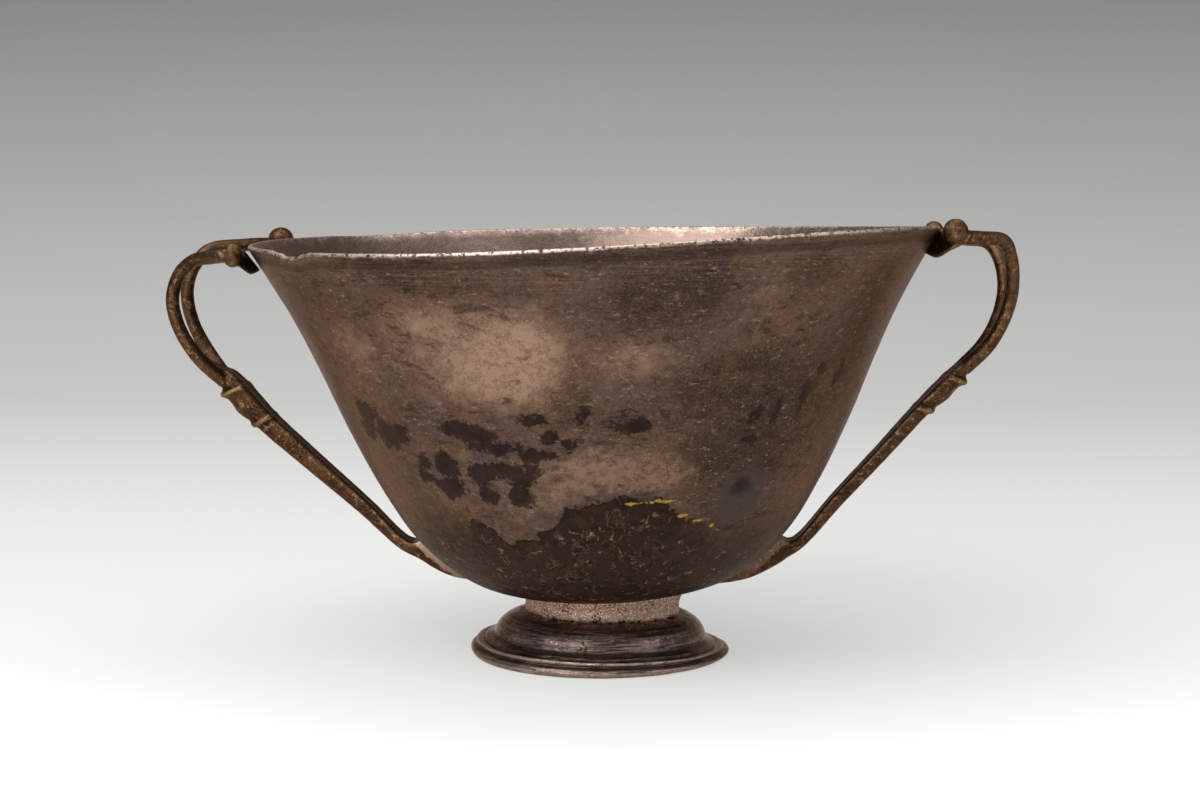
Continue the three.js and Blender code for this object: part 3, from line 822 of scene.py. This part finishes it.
def keep_bowl_fields(bowl, points, outside, lip):
    """Attributes that place the patina and the painted light and shade; the shaders give it its ragged
    edges.
    """
    row = np.arange(len(points)) // BOWL_SIDES
    row[-2:] = (0, row[-3])
    angle, _ = polar(points)
    lifted = [hump(angle, *stretch) for stretch in LIFTED_CRUST]
    fields = {
        "inside": smoothstep(row, outside + lip * 0.4, outside + lip * 0.8),
        "crust": np.interp(angle, *np.array(CRUST_EDGE).T, period=360) - points[:, 2],
        "lifted": np.max(lifted, axis=0),
        "spots": patch_depth(points, DARK_SPOTS),
        "clouds": patch_strength(points, DARK_CLOUDS_AND_SHADE),
        "pale": patch_strength(points, PALE_AND_LIT_PATCHES),
        "flaking": patch_strength(points, FLAKING),
        "grey_spot": patch_depth(points, [GREY_SPOT]),
        "grey_middle": patch_depth(points, [GREY_SPOT_MIDDLE]),
        "gold": patch_depth(points, GOLD_FLECKS),
        "rim": smoothstep(depth_share(points), 0.8, 1),
        "lip": hump(row, outside + lip / 2, lip / 2 + 2.5),
        "under_lip": hump(row, outside - 3.5, 2.5),
    }
    for name, values in fields.items():
        keep_attribute(bowl, name, values)


# Foot

def arc(centre, radius_x, radius_y, start, end, steps):
    turns = np.radians(np.linspace(start, end, steps + 1))
    return np.column_stack([centre[0] + radius_x * np.cos(turns), centre[1] + radius_y * np.sin(turns)])


def foot_profile():
    """Stand, torus, fillet, groove, flange, shoulder and neck, then back down the sheet's inner side."""
    torus_middle = (STAND_OUTER, TORUS_HEIGHT / 2)
    torus = arc(torus_middle, FOOT_RADIUS - STAND_OUTER, TORUS_HEIGHT / 2, -90, 80, TORUS_STEPS)
    fillet_middle = (FILLET_RADIUS - FILLET_GROOVE, (TORUS_HEIGHT + FILLET_TOP + FILLET_GROOVE) / 2)
    fillet_half = (FILLET_TOP - TORUS_HEIGHT - FILLET_GROOVE) / 2
    fillet = arc(fillet_middle, FILLET_GROOVE, fillet_half, -90, 90, FILLET_STEPS)
    groove = [
        (FLANGE_RADIUS + 3 * FILLET_GROOVE, FILLET_TOP),
        (FLANGE_RADIUS + FILLET_GROOVE, FILLET_TOP - FILLET_GROOVE),
    ]
    flange = even_curve([
        (FLANGE_RADIUS, FLANGE_EDGE),
        ((FLANGE_RADIUS + SHOULDER_RADIUS) / 2, FLANGE_EDGE + FLANGE_BULGE),
        (SHOULDER_RADIUS, FLANGE_EDGE + FLANGE_RISE),
    ], FLANGE_POINTS)
    middle = NECK_RADIUS - NECK_FLARE
    shoulder_middle = (middle, NECK_BOTTOM - SHOULDER_DROP)
    reach = SHOULDER_RADIUS - middle
    shoulder = arc(shoulder_middle, reach, SHOULDER_DROP, SHOULDER_FROM, SHOULDER_TO, SHOULDER_STEPS)
    top = BOWL_UNDERSIDE + BOWL_WALL * 0.6
    neck = even_curve([
        (NECK_RADIUS, NECK_BOTTOM + NECK_FLARE),
        (NECK_RADIUS, (NECK_BOTTOM + BOWL_UNDERSIDE) / 2),
        (NECK_RADIUS + NECK_FLARE, BOWL_UNDERSIDE),
        (NECK_RADIUS + NECK_FLARE, top),
    ], NECK_POINTS)
    sheet = even_curve([
        (NECK_RADIUS - FOOT_SHEET, top),
        (NECK_RADIUS - FOOT_SHEET, NECK_BOTTOM - FOOT_SHEET / 2),
        (SHOULDER_RADIUS - FOOT_SHEET * 1.5, NECK_BOTTOM - SHOULDER_DROP + FOOT_SHEET),
        (STAND_INNER - FOOT_SHEET / 2, FILLET_TOP - FOOT_SHEET / 2),
        (STAND_INNER, 0),
    ], SHEET_POINTS)
    return np.vstack([torus, fillet, groove, flange, shoulder, neck, sheet])


def make_foot():
    profile = foot_profile()
    points = turned_points(profile, FOOT_SIDES)
    faces = turned_faces(len(profile), FOOT_SIDES, True)
    foot = mesh_object("foot_detail", bend_foot(points) + FOOT_AXIS, faces)
    keep_attribute(foot, "height", points[:, 2])
    return foot


# Handles, in their own frame: out from the bowl's axis, sideways, up

def beside_wall(share, distance, angle=0.0):
    height = BOWL_UNDERSIDE + share * BOWL_DEPTH
    out = wall_at(height)[0] + distance
    return np.array([out * math.cos(math.radians(angle)), out * math.sin(math.radians(angle)), height])


def on_wall(share, distance):
    height = BOWL_UNDERSIDE + share * BOWL_DEPTH
    radius, out, up = wall_at(height)
    return np.array([radius + out * distance, 0, height + up * distance])


def loft(name, outlines):
    """Skin over outlines with equally many points, closed at both ends."""
    count = len(outlines[0])
    points = np.vstack(outlines)
    faces = turned_faces(len(outlines), count, False)
    faces.append(tuple(range(count))[::-1])
    faces.append(tuple(range(len(points) - count, len(points))))
    return mesh_object(name, points, faces)


def make_stem(shape):
    """Leaf tongue on the wall, strut, collar and the root of the fork, in one sweep."""
    edge = [beside_wall(share, distance) for share, distance, _, _ in shape["stem"]]
    edge += [on_wall(share, distance) for share, distance, _, _ in shape["tongue"]]
    sizes = [(deep, half) for _, _, deep, half in shape["stem"] + shape["tongue"]]
    line = rounded_curve(edge, 60)
    size_line = even_curve(sizes, len(line))
    lengths = run_lengths(line)
    stops = np.arange(0, lengths[-1], STEM_STEP)
    corners = at_lengths(line, stops)
    size_at = at_lengths(size_line, stops, lengths)
    collar_foot = shape["collar_at"] + COLLAR[-1][0]
    half_section = even_curve(STEM_SECTION, STEM_SECTION_POINTS)
    section = np.vstack([half_section, half_section[-2:0:-1] * (-1, 1)])
    outlines = []
    for stop, corner, way, (deep, half) in zip(stops, corners, directions(corners), size_at):
        lift = np.interp(collar_foot - stop + COLLAR_SLANT * section[:, 1], *np.array(COLLAR).T)
        inward = np.array([way[2], 0, -way[0]])
        across = section[:, 0] * (half + lift)
        depth = section[:, 1] * (deep + lift) - lift
        outlines.append(corner + depth[:, None] * inward + across[:, None] * np.array([0, 1, 0]))
    return loft("stem", outlines)


def rod_line(shape, side, crown_rise):
    points = []
    for index, (share, distance, angle) in enumerate(shape["rods"]):
        point = beside_wall(share, distance, side * angle)
        point[2] += crown_rise * float(hump(index, CROWN_TOP, CROWN_TOP - CROWN_FROM))
        points.append(point)
    return rounded_curve(points, 24)


def make_rod(shape, side, crown_rise, tree, finish):
    line = rod_line(shape, side, crown_rise)
    lengths = run_lengths(line)
    stops = np.linspace(0, lengths[-1], ROD_POINTS)
    line = at_lengths(line, stops)
    along = stops / lengths[-1]
    root = 1 - smoothstep(along, 0, ROD_ROOT_SHARE)
    end = smoothstep(along, 1 - ROD_END_SHARE, 1)
    thickness = ROD_RADIUS + (ROD_ROOT_RADIUS - ROD_RADIUS) * root + (ROD_END_RADIUS - ROD_RADIUS) * end
    mesh = bpy.data.meshes.new("rod")
    mesh.from_pydata((line * MM).tolist(), [(k, k + 1) for k in range(len(line) - 1)], [])
    rod = new_object("rod", mesh)
    keep_attribute(rod, "thickness", thickness * MM)
    return run_tree(rod, tree, Sides=ROD_SIDES, Material=finish)


def ball(centre, radius, half_height, rings=20):
    profile = arc((0, 0), radius, half_height, -90, 90, rings)
    profile[[0, -1], 0] = 0.02
    points = turned_points(profile, 2 * rings) + centre
    return loft("knob", points.reshape(-1, 2 * rings, 3))


def oval(centre, across, up, half_width, half_height):
    turns = (np.arange(BILL_SIDES) * 2 * np.pi / BILL_SIDES)[:, None]
    return centre + np.cos(turns) * half_width * across + np.sin(turns) * half_height * up


def make_head(shape, side, knob_rise, knob_radius, knob_half_height, face_drop, pad_tilt):
    """Knob on a rod's end, and the bill that widens from it to a flat face against the wall."""
    share, distance, angle = shape["rods"][-1]
    rod_end = beside_wall(share, distance, side * angle)
    knob = ball(rod_end + (0, 0, knob_rise), knob_radius, knob_half_height)
    turn = math.radians(side * (angle - BILL_TURN))
    tilt = math.radians(pad_tilt)
    _, wall_out, wall_up = wall_at(BOWL_UNDERSIDE + BOWL_DEPTH)
    out = np.array([math.cos(turn), math.sin(turn), 0])
    across = np.array([-out[1], out[0], 0])
    off_wall = np.array([out[0] * wall_out, out[1] * wall_out, wall_up])
    up_wall = np.array([-out[0] * wall_up, -out[1] * wall_up, wall_out])
    up_face = up_wall * math.cos(tilt) + off_wall * math.sin(tilt)
    nape = beside_wall(share, distance + BILL_NAPE, side * angle)
    throat = rod_end - (0, 0, BILL_THROAT_DROP)
    face = beside_wall(1 - face_drop / BOWL_DEPTH, 0, math.degrees(turn))
    face += off_wall * BILL_HALF_HEIGHT * math.sin(tilt)
    cheek = (throat + face) / 2 - (0, 0, BILL_CHEEK_DROP)
    stations = [nape, throat, cheek, face]
    sizes = [
        (BILL_NAPE_RADIUS, BILL_NAPE_RADIUS),
        (BILL_HALF_WIDTH, BILL_THROAT_HALF_HEIGHT),
        (BILL_CHEEK_HALF_WIDTH, BILL_HALF_HEIGHT),
        (BILL_HALF_WIDTH, BILL_HALF_HEIGHT),
    ]
    if pad_tilt == 0:
        stations.append(face - 2 * BOWL_WALL * out)
        sizes.append(sizes[-1])
    count = BILL_STEPS * len(stations)
    turned_up = smoothstep(np.linspace(0, len(stations) - 1, count), 2, 3)[:, None]
    ups = up_wall * (1 - turned_up) + up_face * turned_up
    outlines = [
        oval(place, across, up, *size)
        for place, up, size in zip(even_curve(stations, count), ups, even_curve(sizes, count))
    ]
    return [knob, loft("bill", outlines)]


def joined(name, pieces):
    """One object from several, each of them a closed skin."""
    points, faces, start = [], [], 0
    for piece in pieces:
        mesh = piece.data
        points.append(points_of(piece))
        faces += [[start + corner for corner in face.vertices] for face in mesh.polygons]
        start += len(mesh.vertices)
        bpy.data.objects.remove(piece)
        bpy.data.meshes.remove(mesh)
    return mesh_object(name, np.vstack(points), faces)


def turned_about(points, degrees):
    """Points turned about the cup's axis."""
    turn = math.radians(degrees)
    across = np.array([
        [math.cos(turn), math.sin(turn), 0], [-math.sin(turn), math.cos(turn), 0], [0, 0, 1],
    ])
    return points @ across


def off_wall(points):
    """Distance of each point from the bent bowl's outer side, and the wall's outward slope there."""
    angle, radius = polar(points)
    wall, out, _ = wall_at(points[:, 2] - rim_rise(angle) * depth_share(points) ** 2)
    return (radius - wall) * out, np.maximum(out, 0.3)


def seat_on_wall(points):
    """Points that would lie in the bowl's wall stop at its outer side."""
    distance, out = off_wall(points)
    short = np.maximum(SEAT_GAP - distance, 0) / out
    grown = 1 + short / np.maximum(polar(points)[1], 1e-6)
    return points * np.column_stack([grown, grown, np.ones(len(points))])


def make_handle(shape, rod, finish):
    parts = [make_stem(shape)]
    for side, (crown_rise, *head) in zip((-1, 1), shape["sides"]):
        parts.append(make_rod(shape, side, crown_rise, rod, finish))
        parts += make_head(shape, side, *head)
    handle = joined(shape["name"] + "_detail", parts)
    remesh = handle.modifiers.new("one_casting", "REMESH")
    remesh.mode = "VOXEL"
    remesh.voxel_size = HANDLE_VOXEL * MM
    remesh.use_smooth_shade = True
    smooth = handle.modifiers.new("softened", "SMOOTH")
    smooth.factor = 0.5
    smooth.iterations = 2
    flattened(handle)
    points = seat_on_wall(turned_about(points_of(handle), shape["turn"]))
    keep_attribute(handle, "off_wall", off_wall(points)[0])
    keep_attribute(handle, "soldered", shape["pale_solder"] * smoothstep(depth_share(points), 0.25, 0.15))
    move_points(handle, lean_cup(points))
    return handle


# Finishes

def tint(red, green, blue):
    """Colour as seen, 0 to 255, for a shader's colour socket."""
    def linear(value):
        share = value / 255
        return share / 12.92 if share <= 0.04045 else ((share + 0.055) / 1.055) ** 2.4
    return (linear(red), linear(green), linear(blue), 1)


def shader_group(name, inputs, outputs):
    """A shared effect: its tree, its nodes, its group input, and its group output."""
    tree = bpy.data.node_groups.new(name, "ShaderNodeTree")
    for label, value in inputs.items():
        if value is None:
            tree.interface.new_socket(label, in_out="INPUT", socket_type="NodeSocketVector")
        else:
            socket = tree.interface.new_socket(label, in_out="INPUT", socket_type="NodeSocketFloat")
            socket.default_value = value
    for label in outputs:
        tree.interface.new_socket(label, in_out="OUTPUT", socket_type="NodeSocketFloat")
    nodes = Nodes(tree)
    source = tree.nodes.new("NodeGroupInput").outputs
    result = tree.nodes.new("NodeGroupOutput").inputs
    return tree, nodes, source, result


def mottle_group():
    """Uneven tarnish at three sizes: broad drifts, patches and grain, each about 0 to 1."""
    tree, nodes, source, result = shader_group(
        "mottle", {"Place": None, "Size": 12.0}, ["Broad", "Patches", "Grain"]
    )
    broad = nodes.noise(source["Place"], source["Size"], 3.0, 0.5, 0.6)
    patches = nodes.noise(source["Place"], nodes.times(source["Size"], 0.22), 6.0, 0.62, 0.3)
    grain = nodes.noise(source["Place"], nodes.times(source["Size"], 0.035), 4.0, 0.7)
    nodes.put(result["Broad"], nodes.step(broad, 0.36, 0.64))
    nodes.put(result["Patches"], nodes.step(patches, 0.36, 0.64))
    nodes.put(result["Grain"], nodes.step(grain, 0.3, 0.7))
    return tree


def pits_group():
    """Small round pits that come in drifts: Mask is one in a pit."""
    tree, nodes, source, result = shader_group(
        "pits", {"Place": None, "Size": 0.8, "Amount": 0.5}, ["Mask"]
    )
    warped = nodes.noise(source["Place"], nodes.times(source["Size"], 1.7), 2.0)
    distance = nodes.cells(source["Place"], source["Size"])
    ragged = nodes.plus(distance, nodes.times(warped, 0.5))
    drift = nodes.noise(source["Place"], nodes.times(source["Size"], 6.0), 3.0)
    reach = nodes.times(nodes.step(drift, 0.35, 0.65), source["Amount"])
    edge = nodes.plus(reach, 0.2)
    nodes.put(result["Mask"], nodes.step(nodes.minus(edge, ragged), 0.0, 0.12))
    return tree


def scratches_group():
    """Hair-fine lines along the stretched place's long way: Lines is one on a line."""
    tree, nodes, source, result = shader_group("scratches", {"Place": None, "Size": 3.0}, ["Lines"])
    lines = nodes.noise(source["Place"], source["Size"], 5.0, 0.75)
    thin = nodes.math("ABSOLUTE", nodes.minus(lines, 0.5))
    nodes.put(result["Lines"], nodes.step(thin, 0.0, 0.035, 1.0, 0.0))
    return tree


def worn_group():
    """Where rubbing keeps the metal bright: ridges, broken up by noise."""
    tree, nodes, source, result = shader_group(
        "worn", {"Place": None, "Ridge": 0.0, "Start": 0.05, "Full": 0.3}, ["Mask", "Hollow"]
    )
    rough = nodes.times(nodes.minus(nodes.noise(source["Place"], 1.3, 5.0, 0.6), 0.5), 0.5)
    ridge = nodes.plus(source["Ridge"], nodes.times(rough, source["Full"]))
    nodes.put(result["Mask"], nodes.step(ridge, source["Start"], source["Full"]))
    hollow = nodes.times(ridge, -1.0)
    nodes.put(result["Hollow"], nodes.step(hollow, source["Start"], source["Full"]))
    return tree


def new_finish(name, roughness, metallic):
    finish = bpy.data.materials.new(name)
    finish.use_nodes = True
    shader = finish.node_tree.nodes["Principled BSDF"]
    shader.inputs["Roughness"].default_value = roughness
    shader.inputs["Metallic"].default_value = metallic
    shader.inputs["Specular Tint"].default_value = tint(*EDGE_TINT)
    shader.inputs["Specular IOR Level"].default_value = EDGE_LEVEL
    return finish, Nodes(finish.node_tree), shader


def end_finish(nodes, shader, colour, roughness, relief, depth):
    nodes.put(shader.inputs["Base Color"], colour)
    nodes.put(shader.inputs["Roughness"], roughness)
    nodes.put(shader.inputs["Normal"], nodes.bump(relief, depth))


def bowl_finish(mottle, pits, scratches):
    """Raised sheet silver: warm and purple tarnish, crisp dark spots, a brown crust below, and painted
    light and shade.
    """
    finish, nodes, shader = new_finish("bowl_silver", 0.42, 0.7)
    place = nodes.place()
    level_place = nodes.place((0.45, 0.45, 1.2))
    flat_place = nodes.place((0.06, 0.06, 3.0))
    tarnish = nodes.group(mottle, Place=place, Size=14.0)
    grain, patches = tarnish["Grain"], tarnish["Patches"]
    ragged = nodes.minus(nodes.noise(place, 3.2, 8.0, 0.62), 0.5)
    torn = nodes.minus(nodes.noise(place, 1.1, 6.0, 0.7), 0.5)
    torn = nodes.total(0.0, (ragged, 6.0), (torn, 4.0))
    inside = nodes.attribute("inside")
    outside = nodes.minus(1.0, inside)

    def patch(name, edge, rough, low, high):
        """Mask of the patches kept under a name, with a ragged edge."""
        ragged_depth = nodes.total(nodes.attribute(name), (edge, rough))
        return nodes.times(nodes.step(ragged_depth, low, high), outside)

    amber = nodes.step(nodes.noise(place, 9.0, 5.0, 0.6, 0.8), 0.54, 0.66)
    grit = nodes.step(nodes.noise(place, 0.5, 6.0, 0.8), 0.56, 0.64)
    hairs = nodes.group(scratches, Place=place, Size=7.0)["Lines"]
    blots = nodes.step(nodes.noise(level_place, 2.6, 9.0, 0.72, 0.4), 0.53, 0.6)
    blots = nodes.times(blots, nodes.step(nodes.noise(place, 17.0, 3.0), 0.36, 0.56))
    flecks = nodes.step(nodes.noise(level_place, 0.8, 7.0, 0.78), 0.57, 0.64)
    spots = patch("spots", torn, 1.0, -0.9, -0.1)
    spot_colour = nodes.mix(patches, tint(40, 27, 26), tint(26, 16, 16))
    flaking = patch("flaking", ragged, 1.6, 0.2, 0.9)
    flaking = nodes.times(flaking, nodes.step(nodes.noise(place, 1.2, 8.0, 0.75), 0.36, 0.6))

    edge = nodes.total(nodes.attribute("crust"), (ragged, 9.0))
    merging = nodes.step(nodes.attribute("lifted"), 0.1, 0.5, 1.0, 0.0)
    lifted = nodes.minus(1.0, merging)
    crust = nodes.times(nodes.step(edge, -7.0, 7.0), merging)
    crust = nodes.times(nodes.plus(nodes.times(nodes.step(edge, 0.0, 0.4), lifted), crust), outside)
    crack = nodes.step(nodes.math("ABSOLUTE", nodes.minus(edge, 0.3)), 0.1, 0.7, 1.0, 0.0)
    crack = nodes.times(nodes.times(crack, lifted), outside)
    deep = nodes.step(nodes.noise(place, 7.0, 5.0, 0.6, 0.5), 0.44, 0.62)
    worms = nodes.math("ABSOLUTE", nodes.minus(nodes.noise(place, 4.4, 6.0, 0.65, 0.6), 0.5))
    worms = nodes.times(nodes.step(worms, 0.006, 0.022, 1.0, 0.0), nodes.step(patches, 0.45, 0.8))
    chips = nodes.step(nodes.noise(place, 2.1, 9.0, 0.72, 0.5), 0.575, 0.63)
    chips = nodes.math("MAXIMUM", chips, nodes.times(worms, 0.35))
    chips = nodes.times(chips, nodes.step(nodes.attribute("crust"), 0.0, 6.0))
    crust_colour = nodes.layers(
        nodes.mix(patches, tint(48, 30, 20), tint(20, 11, 8)),
        (tint(28, 17, 13), deep, 0.6),
        (tint(150, 118, 88), chips, 0.7),
    )
    lines = nodes.group(scratches, Place=flat_place, Size=3.0)["Lines"]
    lines = nodes.times(lines, nodes.step(nodes.attribute("rim"), 0.2, 1.0))
    lip = nodes.step(nodes.plus(nodes.attribute("lip"), ragged), 0.1, 0.8)
    lip = nodes.times(lip, nodes.step(nodes.noise(place, 0.9, 4.0, 0.7), 0.58, 0.5))
    colour = nodes.layers(
        nodes.mix(tarnish["Broad"], tint(88, 67, 54), tint(80, 64, 62)),
        (tint(62, 45, 36), patches, 0.35),
        # Dark clouds: partly tarnish, partly painted shade on the right side and the top of the wall
        (tint(38, 27, 25), patch("clouds", ragged, 1.3, 0.0, 0.7), 0.85),
        # Pale patches: partly thin tarnish, partly painted light on the lit part of the wall
        (tint(158, 128, 106), patch("pale", ragged, 1.1, 0.0, 1.0), 0.92),
        (tint(104, 76, 46), amber, 0.22),
        (tint(34, 25, 21), grit, 0.6),
        (tint(150, 124, 102), grain, 0.2),
        (tint(34, 24, 20), hairs, 0.35),
        (tint(40, 29, 27), blots, 0.6),
        (tint(186, 158, 136), flecks, 0.35),
        (spot_colour, spots, 0.92),
        (tint(140, 110, 88), flaking, 0.7),
        (crust_colour, crust, 0.95),
        (tint(18, 10, 8), crack, 0.8),
        (tint(70, 61, 58), patch("grey_spot", ragged, 3.0, -0.6, 1.4), 0.8),
        (tint(34, 29, 31), patch("grey_middle", ragged, 4.0, -0.6, 1.6), 0.8),
        (tint(172, 136, 58), patch("gold", torn, 0.25, 0.0, 0.15), 0.85),
        (tint(150, 126, 106), lines, 0.2),
        # Lighter inside: painted highlight standing for the lamp's sheen on the far inner wall
        (tint(160, 140, 130), inside, 0.4),
        (tint(44, 32, 27), nodes.step(nodes.attribute("under_lip"), 0.2, 0.8), 0.5),
        # Bright lip: partly worn silver, partly a painted highlight along the rim's edge
        (tint(232, 210, 194), lip, 0.8),
    )
    dull = nodes.math("MAXIMUM", crust, nodes.times(spots, 0.5))
    pitted = nodes.group(pits, Place=place, Size=1.1, Amount=0.25)["Mask"]
    relief = nodes.total(
        0.0,
        (nodes.noise(place, 2.6, 6.0, 0.6), 0.4),
        (nodes.noise(place, 0.5, 4.0, 0.7), 0.12),
        (pitted, -0.3),
        (crust, 0.6),
        (nodes.times(chips, crust), 0.35),
        (crack, -0.4),
        (flaking, -0.15),
    )
    roughness = nodes.total(0.34, (grain, 0.14), (dull, 0.1), (inside, -0.16))
    nodes.put(shader.inputs["Metallic"], nodes.step(dull, 0.0, 1.0, 0.88, 0.55))
    end_finish(nodes, shader, colour, roughness, relief, 0.16)
    return finish


def foot_finish(mottle, pits, scratches, worn):
    """Glossy dark foot with turned lines that are also painted reflection streaks, a pale granular neck,
    and a pitted, rubbed standing ring.
    """
    finish, nodes, shader = new_finish("foot_silver", 0.3, 0.85)
    place = nodes.place()
    tarnish = nodes.group(mottle, Place=place, Size=9.0)
    rubbed = nodes.group(worn, Place=place, Ridge=nodes.attribute("ridge"), Start=0.03, Full=0.25)
    lines = nodes.group(scratches, Place=nodes.place((0.08, 0.08, 3.0)), Size=2.2)["Lines"]
    flecks = nodes.step(nodes.noise(place, 0.7, 7.0, 0.78), 0.55, 0.64)
    grit = nodes.step(nodes.noise(place, 0.5, 6.0, 0.8), 0.55, 0.66)
    ragged = nodes.minus(nodes.noise(place, 1.6, 6.0, 0.65), 0.5)
    height = nodes.total(nodes.attribute("height"), (ragged, 5.0))
    neck = nodes.step(height, NECK_BOTTOM - 0.6, NECK_BOTTOM + 0.6)
    grains = nodes.step(nodes.cells(place, 0.55), 0.1, 0.6)
    neck_colour = nodes.mix(grains, tint(236, 208, 188), tint(168, 138, 120))
    hollow = nodes.times(rubbed["Hollow"], nodes.minus(1.0, neck))
    pitted = nodes.group(pits, Place=place, Size=0.6, Amount=0.5)["Mask"]
    colour = nodes.layers(
        nodes.mix(tarnish["Patches"], tint(92, 76, 73), tint(48, 37, 36)),
        (tint(128, 108, 96), tarnish["Broad"], 0.4),
        # Bright lines: partly turned lines, partly painted reflection streaks on the glossy foot
        (tint(176, 154, 140), lines, 0.5),
        (tint(180, 158, 146), flecks, 0.4),
        (tint(36, 27, 25), grit, 0.6),
        (neck_colour, neck, 0.9),
        (tint(196, 172, 156), rubbed["Mask"], 0.75),
        (tint(30, 22, 20), hollow, 0.6),
        (tint(28, 21, 20), pitted, 0.8),
    )
    relief = nodes.total(
        0.0,
        (nodes.noise(place, 1.8, 5.0, 0.6), 0.6),
        (pitted, -0.6),
        (lines, -0.1),
        (nodes.times(grains, neck), -0.5),
    )
    end_finish(nodes, shader, colour, nodes.total(0.2, (neck, 0.4)), relief, 0.14)
    return finish


def handle_finish(mottle, pits, worn):
    """Cast silver: warm brown, pitted, rubbed bright on the ridges, with pale solder by the wall."""
    finish, nodes, shader = new_finish("handle_silver", 0.4, 0.88)
    place = nodes.place()
    tarnish = nodes.group(mottle, Place=place, Size=7.0)
    rubbed = nodes.group(worn, Place=place, Ridge=nodes.attribute("ridge"), Start=0.08, Full=0.5)
    rust = nodes.step(nodes.noise(place, 3.5, 5.0, 0.6), 0.56, 0.66)
    bright = nodes.step(nodes.noise(place, 1.1, 7.0, 0.75), 0.55, 0.63)
    pitted = nodes.group(pits, Place=place, Size=0.75, Amount=0.45)["Mask"]
    ragged = nodes.minus(nodes.noise(place, 1.2, 5.0, 0.6), 0.5)
    near_wall = nodes.total(nodes.attribute("off_wall"), (ragged, 2.0))
    solder = nodes.times(nodes.step(near_wall, 1.6, 2.2, 1.0, 0.0), nodes.attribute("soldered"))
    colour = nodes.layers(
        nodes.mix(tarnish["Broad"], tint(84, 58, 38), tint(64, 45, 33)),
        (tint(46, 28, 17), tarnish["Patches"], 0.6),
        (tint(104, 58, 40), rust, 0.4),
        # Bright flecks: partly worn silver, partly painted glints
        (tint(182, 150, 118), bright, 0.45),
        (tint(184, 150, 112), rubbed["Mask"], 0.35),
        (tint(34, 24, 18), rubbed["Hollow"], 0.85),
        (tint(38, 26, 20), pitted, 0.7),
        (tint(172, 140, 122), solder, 0.8),
    )
    relief = nodes.total(0.0, (nodes.noise(place, 1.1, 6.0, 0.65), 0.8), (pitted, -0.7))
    end_finish(nodes, shader, colour, nodes.total(0.25, (tarnish["Grain"], 0.22)), relief, 0.22)
    return finish


def paper_finish():
    """Pale paper with painted light and shade and a painted glow: brightest in front and darker towards
    the top of the back wall.
    """
    finish, nodes, shader = new_finish("pale_paper", 0.8, 0)
    place = nodes.add("ShaderNodeSeparateXYZ", {"Vector": nodes.place()}).outputs
    away = nodes.plus(place["Y"], nodes.times(place["Z"], 2.0))
    share = nodes.math("DIVIDE", nodes.minus(away, PAPER_FRONT), PAPER_BACK - PAPER_FRONT)
    ramp = nodes.add("ShaderNodeValToRGB", {"Fac": share})
    stops = ramp.color_ramp.elements
    while len(stops) < len(PAPER_PAINTED_TONES):
        stops.new(0.5)
    for stop, (position, tone) in zip(stops, PAPER_PAINTED_TONES):
        stop.position = position
        stop.color = (tone, tone, 0.975 * tone, 1)
    tone = ramp.outputs["Color"]
    nodes.put(shader.inputs["Base Color"], nodes.mix(PAPER_PAINTED_GLOW, tone, (0, 0, 0, 1)))
    # Painted glow: the paper gives off light in its own tone
    nodes.put(shader.inputs["Emission Color"], tone)
    shader.inputs["Emission Strength"].default_value = PAPER_PAINTED_GLOW
    return finish


# The cup

mottle = mottle_group()
pits = pits_group()
scratches = scratches_group()
worn = worn_group()
bowl_silver = bowl_finish(mottle, pits, scratches)
foot_silver = foot_finish(mottle, pits, scratches, worn)
handle_silver = handle_finish(mottle, pits, worn)
skin = skin_tree()
rod = rod_tree()

bowl = make_bowl()
work_skin(bowl, skin, BOWL_SKIN, 2.0, bowl_silver)
foot = make_foot()
work_skin(foot, skin, FOOT_SKIN, 5.0, foot_silver)
pieces = [(bowl, "bowl", "bowl"), (foot, "foot", "foot")]
for index, shape in enumerate(HANDLES):
    handle = make_handle(shape, rod, handle_silver)
    work_skin(handle, skin, HANDLE_SKIN, 7.0 + index, handle_silver)
    pieces.append((handle, shape["name"], "handles"))
for piece, node, slot in pieces:
    clip_to_solids(piece)
    keep_ridge(piece)
    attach(piece, "root")
    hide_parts(node)


# Studio

def make_backdrop():
    """Floor that curves up into a back wall, all one pale sheet."""
    front, back, bend, top, half = -1500, 500, 420, 1300, 1600
    line = np.vstack([
        [(front, 0), (0, 0)],
        arc((back, bend), bend, bend, -90, 0, 24),
        [(back + bend, top)],
    ])
    points = [(x, y, z) for y, z in line for x in (-half, half)]
    faces = [(2 * k, 2 * k + 1, 2 * k + 3, 2 * k + 2) for k in range(len(line) - 1)]
    backdrop = mesh_object("backdrop", points, faces)
    backdrop.data.materials.append(paper_finish())


def area_light(name, place, target, size, power):
    data = bpy.data.lights.new(name, "AREA")
    data.shape = "RECTANGLE"
    data.size, data.size_y = size[0] * MM, size[1] * MM
    data.energy = power
    light = new_object(name, data)
    light.location = Vector(place) * MM
    light.rotation_euler = (Vector(target) - Vector(place)).to_track_quat("-Z", "Y").to_euler()


def make_camera():
    data = bpy.data.cameras.new("camera")
    data.lens = CAMERA_LENS
    data.sensor_width = SENSOR_WIDTH
    data.clip_start = 0.01
    camera = new_object("camera", data)
    camera.location = Vector((np.array(CAMERA_PLACE) + FOOT_AXIS) * MM)
    camera.rotation_euler = (math.radians(CAMERA_PITCH), 0, math.radians(CAMERA_TURN))
    bpy.context.scene.camera = camera


make_backdrop()
for name, light in LIGHTS.items():
    area_light(name, *light)
world = bpy.data.worlds.new("studio_air")
world.use_nodes = True
world.node_tree.nodes["Background"].inputs["Color"].default_value = AIR_COLOUR
world.node_tree.nodes["Background"].inputs["Strength"].default_value = AIR_STRENGTH
bpy.context.scene.world = world
make_camera()
bpy.context.scene.view_settings.view_transform = "Standard"
